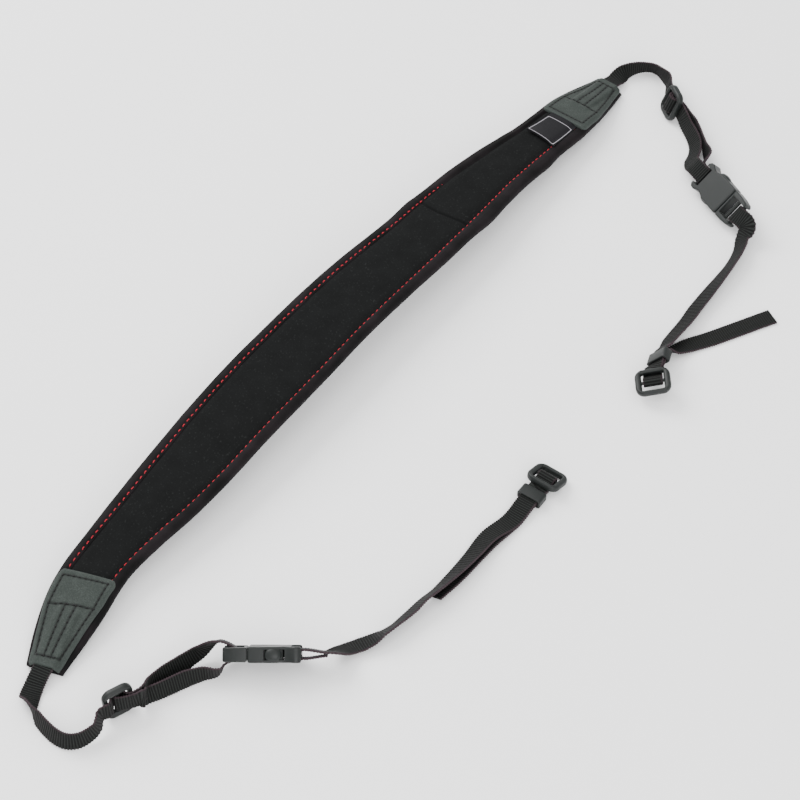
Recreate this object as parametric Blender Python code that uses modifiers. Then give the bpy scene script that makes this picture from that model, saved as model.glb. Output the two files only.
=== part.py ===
"""Camera neck strap, laid out on a flat surface.

A padded neck piece with bound edges carries a stitched patch at each end. A flat
webbing lead leaves each patch, passes a slider, turns round the bar of a side-release
buckle and comes back to the slider. A webbing tail is sewn round the buckle's other
half, passes a keeper and a tri-glide and comes back to a free end.

Metres, +Z up. X runs along the pad, from the near end at -X to the far end at +X, and
the pad bows towards +Y. The origin lies on the surface, under the middle of the strap's
bounding box.

Both ends are laid out alike, in a plan of their own: "out" runs away from the pad's tip
and "drop" runs towards -Y. The near end is the far end's plan mirrored in X, with its
own places.
"""
import bmesh
import bpy
from math import asin, atan2, ceil, cos, hypot, pi, radians, sin
from mathutils import Matrix, Vector

# Clearance between pieces that touch on the real strap, and above the surface
GAP = 0.0003

# Neck pad
PAD_LENGTH = 0.498
PAD_WIDTH = 0.0467
PAD_THICK = 0.0064
PAD_TIP_THICK = 0.0032
PAD_ARCH = 0.019
PAD_BOW = 0.0132
PAD_CROWN = 0.0007
PAD_TIP_INSET = 0.0015
PAD_RING_STEP = 0.013

# Edge binding, folded round both long edges of the pad
BINDING_BAND = 0.0046
BINDING_SHARE = 0.2

# End patches
PATCH_LENGTH = 0.049
PATCH_WIDTH = 0.0272
PATCH_SHIFT = -0.0011
PATCH_THICK = 0.0013

# Label tab on the far end of the pad
LABEL_WIDTH = 0.0165
LABEL_LENGTH = 0.0165
LABEL_THICK = 0.0012
LABEL_LIFT = 0.002

# Webbing
WEB_WIDTH = 0.010
WEB_THICK = 0.0011
WEB_TUCK = 0.018
WEB_RING_STEP = 0.003
WEB_STUB = {"near": 0.0135, "far": 0.0098}

# Tri-glide, used as the slider on each lead and at the end of each tail
GLIDE_RAIL = 0.0034
GLIDE_END_BAR = 0.0024
GLIDE_THICK = 0.0036
GLIDE_BAR_RADIUS = 0.0009
GLIDE_CORNER = 0.0046
GLIDE_SIDE_ROOM = 0.0009
GLIDE_THREAD_ROOM = 0.0007
GLIDE_EDGE = 0.0009
GLIDE_RUN = 0.0037

# Keeper loop on each tail
KEEPER_LENGTH = 0.0068
KEEPER_WALL = 0.0013
KEEPER_SIDE_ROOM = 0.0005
KEEPER_EDGE = 0.0005

# Side-release buckle
BUCKLE_WIDTH = 0.018
BUCKLE_THICK = 0.0076
FEMALE_LENGTH = 0.0252
MALE_LENGTH = 0.0115
BUCKLE_BAR_RADIUS = 0.0012
BUCKLE_WALL = 0.0013
BUCKLE_EDGE = 0.0008
BUCKLE_SLOT_ROOM = 0.0008
FEMALE_FRONT = 0.0075
PRONG_WIDTH = 0.0021
PRONG_REACH = 0.0165
SPINE_WIDTH = 0.0022
SPINE_REACH = 0.012
MALE_FRONT = 0.0018
MALE_THICK = 0.0070

# Where each end's pieces lie: out and drop from the pad's tip, heading in degrees from
# the "out" direction, and roll in degrees, with the outer edge up
PLACES = {
    "near": {
        "slider": (-0.0039, 0.0432, 202.0, 95.0),
        "buckle": (-0.0639, 0.0819, 234.5, 52.0),
        "keeper": (-0.2208, 0.1302, 180.0, 0.0),
        "triglide": (-0.2340, 0.1307, 181.0, 0.0),
    },
    "far": {
        "slider": (0.0026, 0.0402, 232.0, 70.0),
        "buckle": (-0.0449, 0.1012, 243.3, 42.0),
        "keeper": (-0.1653, 0.1358, 199.0, 50.0),
        "triglide": (-0.1826, 0.1423, 218.0, 14.0),
    },
}
LEAD_REACH = {"near": 0.0260, "far": 0.0258}
TAIL_GLIDE_RISE = {"near": (0.0044, 0.0), "far": (0.0060, 0.0044)}
KEEPER_RUN = 0.0008

# Pad sections: station as a share of half the length, width as a share of the pad's
# width, bow as a share of the pad's bow
PAD_SECTIONS = [
    (-1.00, 0.40, 0.00), (-0.93, 0.53, 0.42), (-0.86, 0.64, 0.76), (-0.80, 0.67, 0.96),
    (-0.74, 0.69, 1.02), (-0.66, 0.77, 1.00), (-0.58, 0.86, 0.95), (-0.48, 0.93, 0.94),
    (-0.36, 0.97, 0.99), (-0.24, 1.00, 1.00), (-0.12, 0.995, 0.97), (0.00, 0.98, 0.95),
    (0.12, 0.96, 0.85), (0.26, 0.92, 0.68), (0.40, 0.90, 0.58), (0.48, 0.86, 0.54),
    (0.56, 0.79, 0.46), (0.64, 0.72, 0.34), (0.72, 0.67, 0.23), (0.80, 0.65, 0.16),
    (0.86, 0.64, 0.13), (0.93, 0.53, 0.08), (1.00, 0.40, 0.02),
]

# Patch outline: share of the length from the wide edge, share of the width
PATCH_OUTLINE = [
    (0.00, 0.88), (0.02, 0.95), (0.06, 1.00), (0.16, 1.00), (0.31, 1.00), (0.48, 0.91),
    (0.64, 0.82), (0.80, 0.73), (0.90, 0.685), (0.96, 0.65), (0.99, 0.61), (1.00, 0.57),
]

# Half outlines of the buckle's two halves: share of the length, share of half the width
FEMALE_OUTLINE = [
    (0.00, 0.93), (0.03, 1.00), (0.50, 1.00), (0.60, 0.90), (0.70, 0.82), (0.78, 0.88),
    (0.86, 1.00), (0.95, 0.97), (1.00, 0.82),
]
MALE_OUTLINE = [(0.00, 0.93), (0.08, 0.99), (0.55, 0.97), (0.90, 0.90), (1.00, 0.78)]

# Lead from the patch to the slider: share of the reach, share of the slider's drop,
# roll in degrees, lift as a share of the height of the web at the patch
LEAD_ROWS = {
    "near": [
        (0.17, 0.020, 0, 0.60), (0.40, 0.055, 2, 0.20), (0.61, 0.110, 18, 0.0),
        (0.78, 0.220, 75, 0.0), (0.90, 0.390, 108, 0.0), (0.97, 0.550, 110, 0.0),
        (1.00, 0.695, 110, 0.0), (0.97, 0.820, 108, 0.0), (0.85, 0.920, 104, 0.0),
        (0.66, 0.980, 100, 0.1), (0.45, 1.005, 96, 0.4),
    ],
    "far": [
        (0.20, 0.01, 0, 0.60), (0.42, 0.04, 40, 0.20), (0.57, 0.07, 72, 0.0),
        (0.72, 0.12, 88, 0.0), (0.84, 0.18, 98, 0.0), (0.93, 0.25, 104, 0.0),
        (0.99, 0.32, 106, 0.0), (1.00, 0.39, 104, 0.0), (0.94, 0.49, 97, 0.1),
        (0.85, 0.59, 88, 0.3), (0.74, 0.69, 80, 0.6),
    ],
}

# Lead between slider and buckle: share of their distance, offset to the outer side as a
# share of the web's width, roll in degrees, lift as a share of the web's width
INNER_ROWS = {
    "near": [
        (0.30, -0.42, 106, 0.10), (0.44, -0.70, 118, 0.05), (0.59, -0.88, 118, 0.05),
        (0.73, -1.02, 104, 0.15),
    ],
    "far": [
        (0.27, 0.40, 68, 0.10), (0.40, 0.48, 62, 0.05), (0.51, 0.46, 54, 0.0),
        (0.61, 0.24, 46, 0.0), (0.69, -0.08, 42, 0.10), (0.79, -0.32, 44, 0.35),
    ],
}
OUTER_ROWS = {
    "near": [
        (0.84, 0.28, 70, 0.05), (0.70, 0.06, 98, 0.0), (0.56, -0.03, 112, 0.0),
        (0.43, 0.01, 112, 0.0), (0.31, 0.04, 110, 0.0), (0.22, 0.02, 108, 0.0),
    ],
    "far": [
        (0.74, 0.72, 70, 0.20), (0.60, 0.86, 86, 0.0), (0.46, 0.97, 96, 0.0),
        (0.33, 0.95, 98, 0.10),
    ],
}

# Where the lead meets the buckle's bar: how far back from it, and how far above and
# below the buckle's own plane, for the layer that comes and the layer that leaves
BAR_ENTRY = {"near": (0.0085, 0.0060), "far": (0.0077, 0.0029)}
BAR_EXIT = {"near": (0.0062, 0.0056), "far": (0.0077, 0.0029)}

# Tail from buckle to keeper: share of their distance, offset to the outer side as a
# share of that distance, roll in degrees, lift as a share of the stacked web's height
TAIL_ROWS = {
    "near": [
        (0.157, 0.066, 20, 0.0), (0.190, 0.076, 17, 0.0), (0.227, 0.087, 25, 0.0),
        (0.268, 0.095, 46, 0.0), (0.315, 0.098, 52, 0.0), (0.357, 0.095, 48, 0.0),
        (0.398, 0.092, 47, 0.3), (0.439, 0.088, 50, 0.8), (0.500, 0.087, 50, 1.0),
        (0.553, 0.080, 44, 1.0), (0.618, 0.069, 36, 1.0), (0.683, 0.055, 29, 1.0),
        (0.779, 0.030, 14, 1.0), (0.887, 0.026, 0, 1.0),
    ],
    "far": [
        (0.102, 0.066, 46, 0.5), (0.150, 0.076, 48, 0.0), (0.202, 0.080, 50, 0.0),
        (0.286, 0.076, 50, 0.0),
        (0.368, 0.065, 44, 0.0), (0.448, 0.052, 38, 0.0), (0.525, 0.040, 34, 0.0),
        (0.605, 0.028, 32, 0.0), (0.706, 0.018, 35, 0.0), (0.785, 0.004, 37, 0.0),
        (0.852, -0.007, 40, 0.0), (0.889, -0.008, 47, 0.0),
    ],
}

# Free end of the tail beyond the keeper: out, drop, roll in degrees
FREE_ROWS = {
    "near": [
        (-0.2034, 0.1304, 4), (-0.1960, 0.1297, 8), (-0.1864, 0.1288, 14),
        (-0.1724, 0.1284, 20), (-0.1574, 0.1281, 25), (-0.1414, 0.1262, 27),
    ],
    "far": [
        (-0.1530, 0.1372, 22), (-0.1440, 0.1412, 4), (-0.1331, 0.1480, 0),
        (-0.1213, 0.1547, 0), (-0.1095, 0.1613, 0), (-0.0998, 0.1668, 0),
    ],
}

# Principled BSDF looks: colour, roughness, metallic
LOOKS = {
    "pad_fabric": ((0.012, 0.012, 0.012), 0.9, 0.0),
    "binding_fabric": ((0.008, 0.007, 0.008), 0.8, 0.0),
    "patch_leather": ((0.075, 0.085, 0.082), 0.65, 0.0),
    "label_fabric": ((0.010, 0.010, 0.011), 0.85, 0.0),
    "webbing": ((0.016, 0.018, 0.017), 0.85, 0.0),
    "black_plastic": ((0.055, 0.058, 0.057), 0.45, 0.0),
}

# Sizes worked out from those above
TIP = PAD_LENGTH / 2
LAYER = WEB_THICK + GAP
WEB_ON_BAR = GAP + WEB_THICK / 2
GLIDE_WINDOW_WIDTH = WEB_WIDTH + 2 * GLIDE_SIDE_ROOM
GLIDE_WIDTH = GLIDE_WINDOW_WIDTH + 2 * GLIDE_RAIL
GLIDE_END_RADIUS = GLIDE_THICK / 2
GLIDE_BAR_PITCH = (GLIDE_END_RADIUS + WEB_ON_BAR + GLIDE_BAR_RADIUS + WEB_ON_BAR + LAYER
                   + GLIDE_THREAD_ROOM)
GLIDE_LENGTH = 2 * GLIDE_BAR_PITCH + GLIDE_END_BAR
KEEPER_ROOM = 2 * WEB_THICK + 3 * GAP
KEEPER_WIDTH = WEB_WIDTH + 2 * (KEEPER_SIDE_ROOM + KEEPER_WALL)
KEEPER_HEIGHT = KEEPER_ROOM + 2 * KEEPER_WALL
BUCKLE_LENGTH = FEMALE_LENGTH + MALE_LENGTH
BUCKLE_WEB_RADIUS = BUCKLE_BAR_RADIUS + WEB_ON_BAR
BUCKLE_WINDOW_WIDTH = WEB_WIDTH + 2 * GLIDE_SIDE_ROOM
BUCKLE_SLOT = WEB_THICK + 2 * GAP + BUCKLE_SLOT_ROOM
CAVITY_HEIGHT = BUCKLE_THICK - 2 * BUCKLE_WALL
CAVITY_WIDTH = BUCKLE_WIDTH - 2 * BUCKLE_WALL
CAVITY_DEPTH = PRONG_REACH + 3 * GAP

MIRROR_X = Matrix.Diagonal((-1, 1, 1, 1))
MIRROR_Y = Matrix.Diagonal((1, -1, 1, 1))
UP = Vector((0, 0, 1))


def lerp(a, b, share):
    """The value a given share of the way from a to b."""
    return a + (b - a) * share


def smooth_table(rows, x):
    """Every column after the first at x, on a smooth curve through the rows."""
    last = len(rows) - 2
    i = next((k for k in range(last) if x <= rows[k + 1][0]), last)
    before, start = rows[max(i - 1, 0)], rows[i]
    end, after = rows[i + 1], rows[min(i + 2, len(rows) - 1)]
    span = end[0] - start[0]
    t = (x - start[0]) / span
    result = []
    for a, b, c, d in zip(before[1:], start[1:], end[1:], after[1:]):
        slope_in = (c - a) / (end[0] - before[0]) * span
        slope_out = (d - b) / (after[0] - start[0]) * span
        result.append(b * (2 * t**3 - 3 * t**2 + 1) + slope_in * (t**3 - 2 * t**2 + t)
                      + c * (3 * t**2 - 2 * t**3) + slope_out * (t**3 - t**2))
    return result


def clean_start():
    """Empty the scene and make one collection for the parts and one for the cutters."""
    for item in list(bpy.data.objects):
        bpy.data.objects.remove(item, do_unlink=True)
    scene = bpy.context.scene
    parts = bpy.data.collections.new("camera_neck_strap")
    cutters = bpy.data.collections.new("cutters")
    scene.collection.children.link(parts)
    scene.collection.children.link(cutters)
    return parts, cutters


def make_material(name):
    """A Principled BSDF material from the table of looks."""
    colour, roughness, metallic = LOOKS[name]
    material = bpy.data.materials.new(name)
    material.use_nodes = True
    shader = material.node_tree.nodes["Principled BSDF"]
    shader.inputs["Base Color"].default_value = (*colour, 1)
    shader.inputs["Roughness"].default_value = roughness
    shader.inputs["Metallic"].default_value = metallic
    return material


def add_object(name, bm, collection, material=None, matrix=None):
    """Turn a bmesh into a named object with its faces pointing out."""
    bmesh.ops.recalc_face_normals(bm, faces=bm.faces)
    mesh = bpy.data.meshes.new(name)
    bm.to_mesh(mesh)
    bm.free()
    item = bpy.data.objects.new(name, mesh)
    collection.objects.link(item)
    if material:
        mesh.materials.append(material)
    if matrix:
        item.matrix_world = matrix
    return item


def loft(name, rings, collection, material):
    """A closed solid through rings with as many corners each, capped at both ends."""
    bm = bmesh.new()
    layers = [[bm.verts.new(corner) for corner in ring] for ring in rings]
    corners = len(layers[0])
    for lower, upper in zip(layers, layers[1:]):
        for k in range(corners):
            j = (k + 1) % corners
            bm.faces.new((lower[k], lower[j], upper[j], upper[k]))
    bm.faces.new(layers[0])
    bm.faces.new(layers[-1])
    return add_object(name, bm, collection, material)


def box(bm, x, y, z):
    """A box in a bmesh between the given low and high limits of each axis."""
    size = Vector((x[1] - x[0], y[1] - y[0], z[1] - z[0]))
    middle = Vector((x[0] + x[1], y[0] + y[1], z[0] + z[1])) / 2
    shape = Matrix.Translation(middle) @ Matrix.Diagonal((*size, 1))
    return bmesh.ops.create_cube(bm, size=1, matrix=shape)["verts"]


def bar(bm, x, radius, length):
    """A round bar in a bmesh along Y, with its axis through (x, 0, 0)."""
    place = Matrix.Translation((x, 0, 0)) @ Matrix.Rotation(pi / 2, 4, "X")
    bmesh.ops.create_cone(bm, cap_ends=True, segments=12, radius1=radius, radius2=radius,
                          depth=length, matrix=place)


def rounded_plate(bm, length, width, thick, corner, steps=3):
    """A flat plate with round corners in plan, centred on the bmesh's origin."""
    outline = []
    for sx, sy, start in ((1, 1, 0), (-1, 1, 90), (-1, -1, 180), (1, -1, 270)):
        middle = (sx * (length / 2 - corner), sy * (width / 2 - corner))
        for k in range(steps + 1):
            angle = radians(start + 90 * k / steps)
            outline.append((middle[0] + corner * cos(angle), middle[1] + corner * sin(angle)))
    prism(bm, outline, thick)


def prism(bm, outline, thick):
    """A flat outline in X and Y raised to a plate, half above and half below Z = 0."""
    low = [bm.verts.new((x, y, -thick / 2)) for x, y in outline]
    face = bm.faces.new(low)
    raised = bmesh.ops.extrude_face_region(bm, geom=[face])["geom"]
    top = [item for item in raised if isinstance(item, bmesh.types.BMVert)]
    bmesh.ops.translate(bm, verts=top, vec=(0, 0, thick))


class Workshop:
    """The collections and materials that the pieces are made with."""

    def __init__(self):
        self.parts, self.cutters = clean_start()
        self.looks = {name: make_material(name) for name in LOOKS}

    def piece(self, name, bm, look, matrix):
        """A finished piece from a bmesh."""
        return add_object(name, bm, self.parts, self.looks[look], matrix)

    def tool(self, target, name, bm, operation):
        """Cut a bmesh out of a piece, or join it on, with a Boolean modifier."""
        cutter = add_object(f"{target.name}_{name}", bm, self.cutters)
        cutter.matrix_world = target.matrix_world
        cutter.hide_render = True
        cutter.display_type = "WIRE"
        modifier = target.modifiers.new(name, "BOOLEAN")
        modifier.operation = operation
        modifier.object = cutter

    def round_edges(self, target, width, angle=50):
        """Round a piece's sharp edges with a small Bevel modifier."""
        modifier = target.modifiers.new("round_edges", "BEVEL")
        modifier.width = width
        modifier.segments = 2
        modifier.limit_method = "ANGLE"
        modifier.angle_limit = radians(angle)


# The pad's own curve


def pad_line(station):
    """Centre of the pad's underside, its width and its thickness at a station."""
    width_share, bow_share = smooth_table(PAD_SECTIONS, station)
    from_tip = (1 - abs(station)) * TIP
    share = min(from_tip / PATCH_LENGTH, 1)
    thick = lerp(PAD_TIP_THICK, PAD_THICK, share * share * (3 - 2 * share))
    height = GAP + PAD_ARCH * (1 - station * station)
    return Vector((station * TIP, bow_share * PAD_BOW, height)), width_share * PAD_WIDTH, thick


def pad_frame(station):
    """Position, outward side direction, width and thickness of the pad at a station."""
    step = 0.004
    low = pad_line(max(station - step, -1))[0]
    high = pad_line(min(station + step, 1))[0]
    along = Vector((high.x - low.x, high.y - low.y, 0)).normalized()
    place, width, thick = pad_line(station)
    return place, Vector((-along.y, along.x, 0)), width, thick


def pad_stations():
    """Even stations along the pad, just short of its tips."""
    end = 1 - PAD_TIP_INSET / TIP
    count = ceil(PAD_LENGTH / PAD_RING_STEP)
    return [lerp(-end, end, k / count) for k in range(count + 1)]


def pad_core_ring(station):
    """Section of the padded core, with a thin tongue that the bindings fold round."""
    place, side, width, thick = pad_frame(station)
    leg = thick * BINDING_SHARE
    panel = width / 2 - BINDING_BAND - GAP
    tongue = width / 2 - leg - GAP
    low, high = leg + GAP, thick - leg - GAP
    right = [(panel, 0), (panel, low), (tongue, low), (tongue, high), (panel, high),
             (panel, thick), (panel / 2, thick + 0.75 * PAD_CROWN)]
    ring = right + [(0, thick + PAD_CROWN)] + [(-v, h) for v, h in reversed(right)]
    return [place + side * v + UP * h for v, h in ring]


def binding_ring(station, sign):
    """Section of one edge binding, a channel open towards the pad's middle."""
    place, side, width, thick = pad_frame(station)
    leg = thick * BINDING_SHARE
    inner = width / 2 - BINDING_BAND
    radius = thick / 2
    centre = width / 2 - radius
    ring = [(inner, leg), (inner, 0)]
    for angle in (-90, -54, -18, 18, 54, 90):
        turn = radians(angle)
        ring.append((centre + radius * cos(turn), radius + radius * sin(turn)))
    ring += [(inner, thick), (inner, thick - leg), (width / 2 - leg, thick - leg),
             (width / 2 - leg, leg)]
    return [place + side * (sign * v) + UP * h for v, h in ring]


def make_pad(shop):
    """The padded core and the two bindings along its edges."""
    stations = pad_stations()
    rings = [pad_core_ring(station) for station in stations]
    loft("neck_pad", rings, shop.parts, shop.looks["pad_fabric"])
    for name, sign in (("edge_binding_outer", 1), ("edge_binding_inner", -1)):
        rings = [binding_ring(station, sign) for station in stations]
        loft(name, rings, shop.parts, shop.looks["binding_fabric"])


def patch_ramp(from_tip):
    """How far the patch is raised over the tucked end of the web, from 0 to 1."""
    flat = WEB_TUCK + 0.10 * PATCH_LENGTH
    foot = WEB_TUCK + 0.45 * PATCH_LENGTH
    share = (foot - from_tip) / (foot - flat)
    share = max(0, min(share, 1))
    return share * share * (3 - 2 * share)


def make_patch(shop, name, end):
    """A stitched patch over the pad's end, arched over the web that is tucked under it."""
    rings = []
    for along, width_share in PATCH_OUTLINE:
        from_tip = (1 - along) * PATCH_LENGTH
        station = end * (1 - from_tip / TIP)
        place, side, _, thick = pad_frame(station)
        half = width_share * PATCH_WIDTH / 2
        bottom = thick + PAD_CROWN + GAP
        raised = bottom + LAYER * patch_ramp(from_tip)
        rim = min(WEB_WIDTH / 2 + 2 * GAP, half - 1.5 * PATCH_THICK)
        top = raised + PATCH_THICK
        shift = PATCH_SHIFT * min(from_tip / WEB_TUCK, 1)
        right = [(half, bottom), (half, top - 0.4 * PATCH_THICK),
                 (half - 0.5 * PATCH_THICK, top)]
        left = [(-v, h) for v, h in reversed(right)]
        under = [(-rim - PATCH_THICK / 2, bottom), (-rim, raised), (rim, raised),
                 (rim + PATCH_THICK / 2, bottom)]
        ring = [(v + shift, h) for v, h in right + left] + under
        rings.append([place + side * v + UP * h for v, h in ring])
    loft(name, rings, shop.parts, shop.looks["patch_leather"])


def make_label(shop):
    """The bare label tab, its free end lifted a little off the pad."""
    rings = []
    count = 6
    for k in range(count + 1):
        share = k / count
        from_tip = PATCH_LENGTH + GAP + share * LABEL_LENGTH
        place, side, _, thick = pad_frame(1 - from_tip / TIP)
        bottom = thick + PAD_CROWN + GAP + LABEL_LIFT * share * share
        half = LABEL_WIDTH / 2
        ring = [(-half, bottom), (half, bottom), (half, bottom + LABEL_THICK),
                (-half, bottom + LABEL_THICK)]
        rings.append([place + side * v + UP * h for v, h in ring])
    loft("label_tab", rings, shop.parts, shop.looks["label_fabric"])


# Plan of one end


def to_world(point, end):
    """A point of an end's plan in the strap's frame."""
    point = point.copy()
    point.x *= end
    return point


def pose(place, height, pitch=0.0):
    """Matrix of a piece in its end's plan: X runs on along the web, +Y is the outer edge."""
    out, drop, heading, roll = place
    return (Matrix.Translation((TIP + out, -drop, height))
            @ Matrix.Rotation(radians(heading), 4, "Z")
            @ Matrix.Rotation(-pitch, 4, "Y")
            @ Matrix.Rotation(radians(roll), 4, "X"))


def piece_matrix(matrix, end):
    """A piece's matrix in the strap's frame, mirrored with the plan but never turned
    inside out, because every piece is the same on both sides of its own X axis."""
    return matrix if end > 0 else MIRROR_X @ matrix @ MIRROR_Y


def resting_height(roll, width, thick):
    """Height of the middle of a flat piece that rests on its edge at a roll."""
    turn = radians(roll)
    return GAP + abs(sin(turn)) * width / 2 + abs(cos(turn)) * thick / 2


# Webbing paths


def belt(*stops):
    """Points of a belt that runs round circles (x, z, radius, turn) in a plane.

    A turn of 1 runs counterclockwise and -1 clockwise. A stop without a radius is a
    point that the belt starts from or ends at.
    """
    stops = [(*stop, 0, 0) if len(stop) == 2 else stop for stop in stops]
    headings = []
    for (xa, za, ra, ta), (xb, zb, rb, tb) in zip(stops, stops[1:]):
        distance = hypot(xb - xa, zb - za)
        lean = (ra * ta - rb * tb) / distance
        headings.append(atan2(zb - za, xb - xa) + asin(lean))
    path = [(stops[0][0], stops[0][1])]
    for (x, z, radius, turn), before, after in zip(stops[1:-1], headings, headings[1:]):
        sweep = (after - before) * turn % (2 * pi)
        if sweep > 1.9 * pi:
            sweep = 0.0
        count = max(1, ceil(sweep / radians(24)))
        for k in range(count + 1):
            heading = before + turn * sweep * k / count
            path.append((x + turn * radius * sin(heading), z - turn * radius * cos(heading)))
    path.append((stops[-1][0], stops[-1][1]))
    return path


def threaded(matrix, path):
    """Knots (point, width direction) of a belt path that lies in a piece's own X-Z plane."""
    width = (matrix.to_3x3() @ Vector((0, 1, 0))).normalized()
    return [(matrix @ Vector((x, 0, z)), width) for x, z in path]


def rolled(along, roll):
    """Width direction of a web that runs along, its outer edge rolled up by an angle."""
    left = Vector((-along.y, along.x, 0)).normalized()
    turn = radians(roll)
    return left * cos(turn) + UP * sin(turn)


def free_knots(start, end, rows, side_unit, lift_unit):
    """Knots of a web that lies free between two points of the plan.

    Rows: share of the straight line, offset to the outer side, roll, lift.
    """
    line = Vector((end.x - start.x, end.y - start.y, 0))
    left = Vector((-line.y, line.x, 0)).normalized()
    floor_start = Vector((start.x, start.y, 0))
    plan = [floor_start + line * row[0] + left * (row[1] * side_unit) for row in rows]
    chain = [floor_start] + plan + [floor_start + line]
    knots = []
    for k, (_, _, roll, lift) in enumerate(rows):
        height = resting_height(roll, WEB_WIDTH, WEB_THICK) + lift * lift_unit
        along = chain[k + 2] - chain[k]
        knots.append((plan[k] + UP * height, rolled(along, roll)))
    return knots


def spline(knots):
    """A smooth curve through knots, with a ring at least every WEB_RING_STEP."""
    points = [knot[0] for knot in knots]
    widths = [knot[1] for knot in knots]
    curve = []
    for i in range(len(knots) - 1):
        before = points[max(i - 1, 0)]
        start, end = points[i], points[i + 1]
        after = points[min(i + 2, len(knots) - 1)]
        chord = (end - start).length
        slope_in = tangent(before, start, end) * chord
        slope_out = tangent(start, end, after) * chord
        count = max(1, ceil(chord / WEB_RING_STEP))
        for k in range(count):
            t = k / count
            place = (start * (2 * t**3 - 3 * t**2 + 1) + slope_in * (t**3 - 2 * t**2 + t)
                     + end * (3 * t**2 - 2 * t**3) + slope_out * (t**3 - t**2))
            curve.append((place, widths[i].lerp(widths[i + 1], t)))
    curve.append(knots[-1])
    return curve


def tangent(before, here, after):
    """Direction of a smooth curve at the middle one of three points."""
    back, forth = here - before, after - here
    if back.length < 1e-9:
        return forth.normalized()
    if forth.length < 1e-9:
        return back.normalized()
    return (back / back.length**2 + forth / forth.length**2).normalized()


def web_rings(knots):
    """Rectangular sections of a web along its knots, square to its way."""
    curve = spline(knots)
    rings = []
    for i, (place, width) in enumerate(curve):
        before = curve[max(i - 1, 0)][0]
        after = curve[min(i + 1, len(curve) - 1)][0]
        along = tangent(before, place, after)
        across = (width - along * width.dot(along)).normalized()
        face = along.cross(across)
        half, thin = across * WEB_WIDTH / 2, face * WEB_THICK / 2
        rings.append([place - half - thin, place + half - thin,
                      place + half + thin, place - half + thin])
    return rings


def make_web(shop, name, knots, end):
    """A web of plain rectangular section along knots of an end's plan."""
    rings = [[to_world(corner, end) for corner in ring] for ring in web_rings(knots)]
    loft(name, rings, shop.parts, shop.looks["webbing"])


# Hardware


def make_triglide(shop, name, matrix):
    """A rectangular frame with round corners and a thin round bar across its middle."""
    bm = bmesh.new()
    rounded_plate(bm, GLIDE_LENGTH, GLIDE_WIDTH, GLIDE_THICK, GLIDE_CORNER)
    glide = shop.piece(name, bm, "black_plastic", matrix)
    window = bmesh.new()
    opening = GLIDE_LENGTH / 2 - GLIDE_END_BAR
    half = GLIDE_WINDOW_WIDTH / 2
    box(window, (-opening, opening), (-half, half), (-GLIDE_THICK, GLIDE_THICK))
    shop.tool(glide, "window", window, "DIFFERENCE")
    shop.round_edges(glide, GLIDE_EDGE)
    middle = bmesh.new()
    bar(middle, 0, GLIDE_BAR_RADIUS, GLIDE_WINDOW_WIDTH + GLIDE_RAIL)
    shop.tool(glide, "bar", middle, "UNION")


def make_keeper(shop, name, matrix):
    """A short square loop that both layers of a tail pass through."""
    bm = bmesh.new()
    half = KEEPER_LENGTH / 2
    box(bm, (-half, half), (-KEEPER_WIDTH / 2, KEEPER_WIDTH / 2),
        (-KEEPER_HEIGHT / 2, KEEPER_HEIGHT / 2))
    keeper = shop.piece(name, bm, "black_plastic", matrix)
    shop.round_edges(keeper, KEEPER_EDGE)
    hole = bmesh.new()
    room = WEB_WIDTH / 2 + KEEPER_SIDE_ROOM
    box(hole, (-KEEPER_LENGTH, KEEPER_LENGTH), (-room, room),
        (-KEEPER_ROOM / 2, KEEPER_ROOM / 2))
    shop.tool(keeper, "hole", hole, "DIFFERENCE")


def female_bar_x():
    """Place of the web bar on the receiving half, whose mouth is at X = 0."""
    return -FEMALE_LENGTH + BUCKLE_BAR_RADIUS


def male_bar_x():
    """Place of the web bar on the plug half, whose base starts at X = 0."""
    return MALE_LENGTH - BUCKLE_BAR_RADIUS


def middle_bar_x():
    """Place of the plug half's middle bar, between its two web slots."""
    return MALE_FRONT + BUCKLE_SLOT + BUCKLE_BAR_RADIUS


def make_female(shop, name, matrix):
    """The receiving half: mouth at X = 0, body towards -X, web bar at its rear."""
    bm = bmesh.new()
    outline = [(-x * FEMALE_LENGTH, y * BUCKLE_WIDTH / 2) for x, y in FEMALE_OUTLINE]
    prism(bm, outline + [(x, -y) for x, y in reversed(outline)], BUCKLE_THICK)
    female = shop.piece(name, bm, "black_plastic", matrix)
    shop.round_edges(female, BUCKLE_EDGE, angle=60)
    cavity = bmesh.new()
    inner = CAVITY_WIDTH / 2
    outline = [(CAVITY_DEPTH, inner), (-FEMALE_FRONT, inner), (-FEMALE_FRONT, BUCKLE_WIDTH),
               (-CAVITY_DEPTH, BUCKLE_WIDTH)]
    prism(cavity, outline + [(x, -y) for x, y in reversed(outline)], CAVITY_HEIGHT)
    shop.tool(female, "cavity", cavity, "DIFFERENCE")
    slot = bmesh.new()
    room = BUCKLE_WINDOW_WIDTH / 2
    front = female_bar_x() + BUCKLE_BAR_RADIUS + BUCKLE_SLOT
    box(slot, (-2 * FEMALE_LENGTH, front), (-room, room), (-BUCKLE_THICK, BUCKLE_THICK))
    shop.tool(female, "web_slot", slot, "DIFFERENCE")
    rear = bmesh.new()
    bar(rear, female_bar_x(), BUCKLE_BAR_RADIUS, BUCKLE_WINDOW_WIDTH + BUCKLE_WALL)
    shop.tool(female, "web_bar", rear, "UNION")


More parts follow.
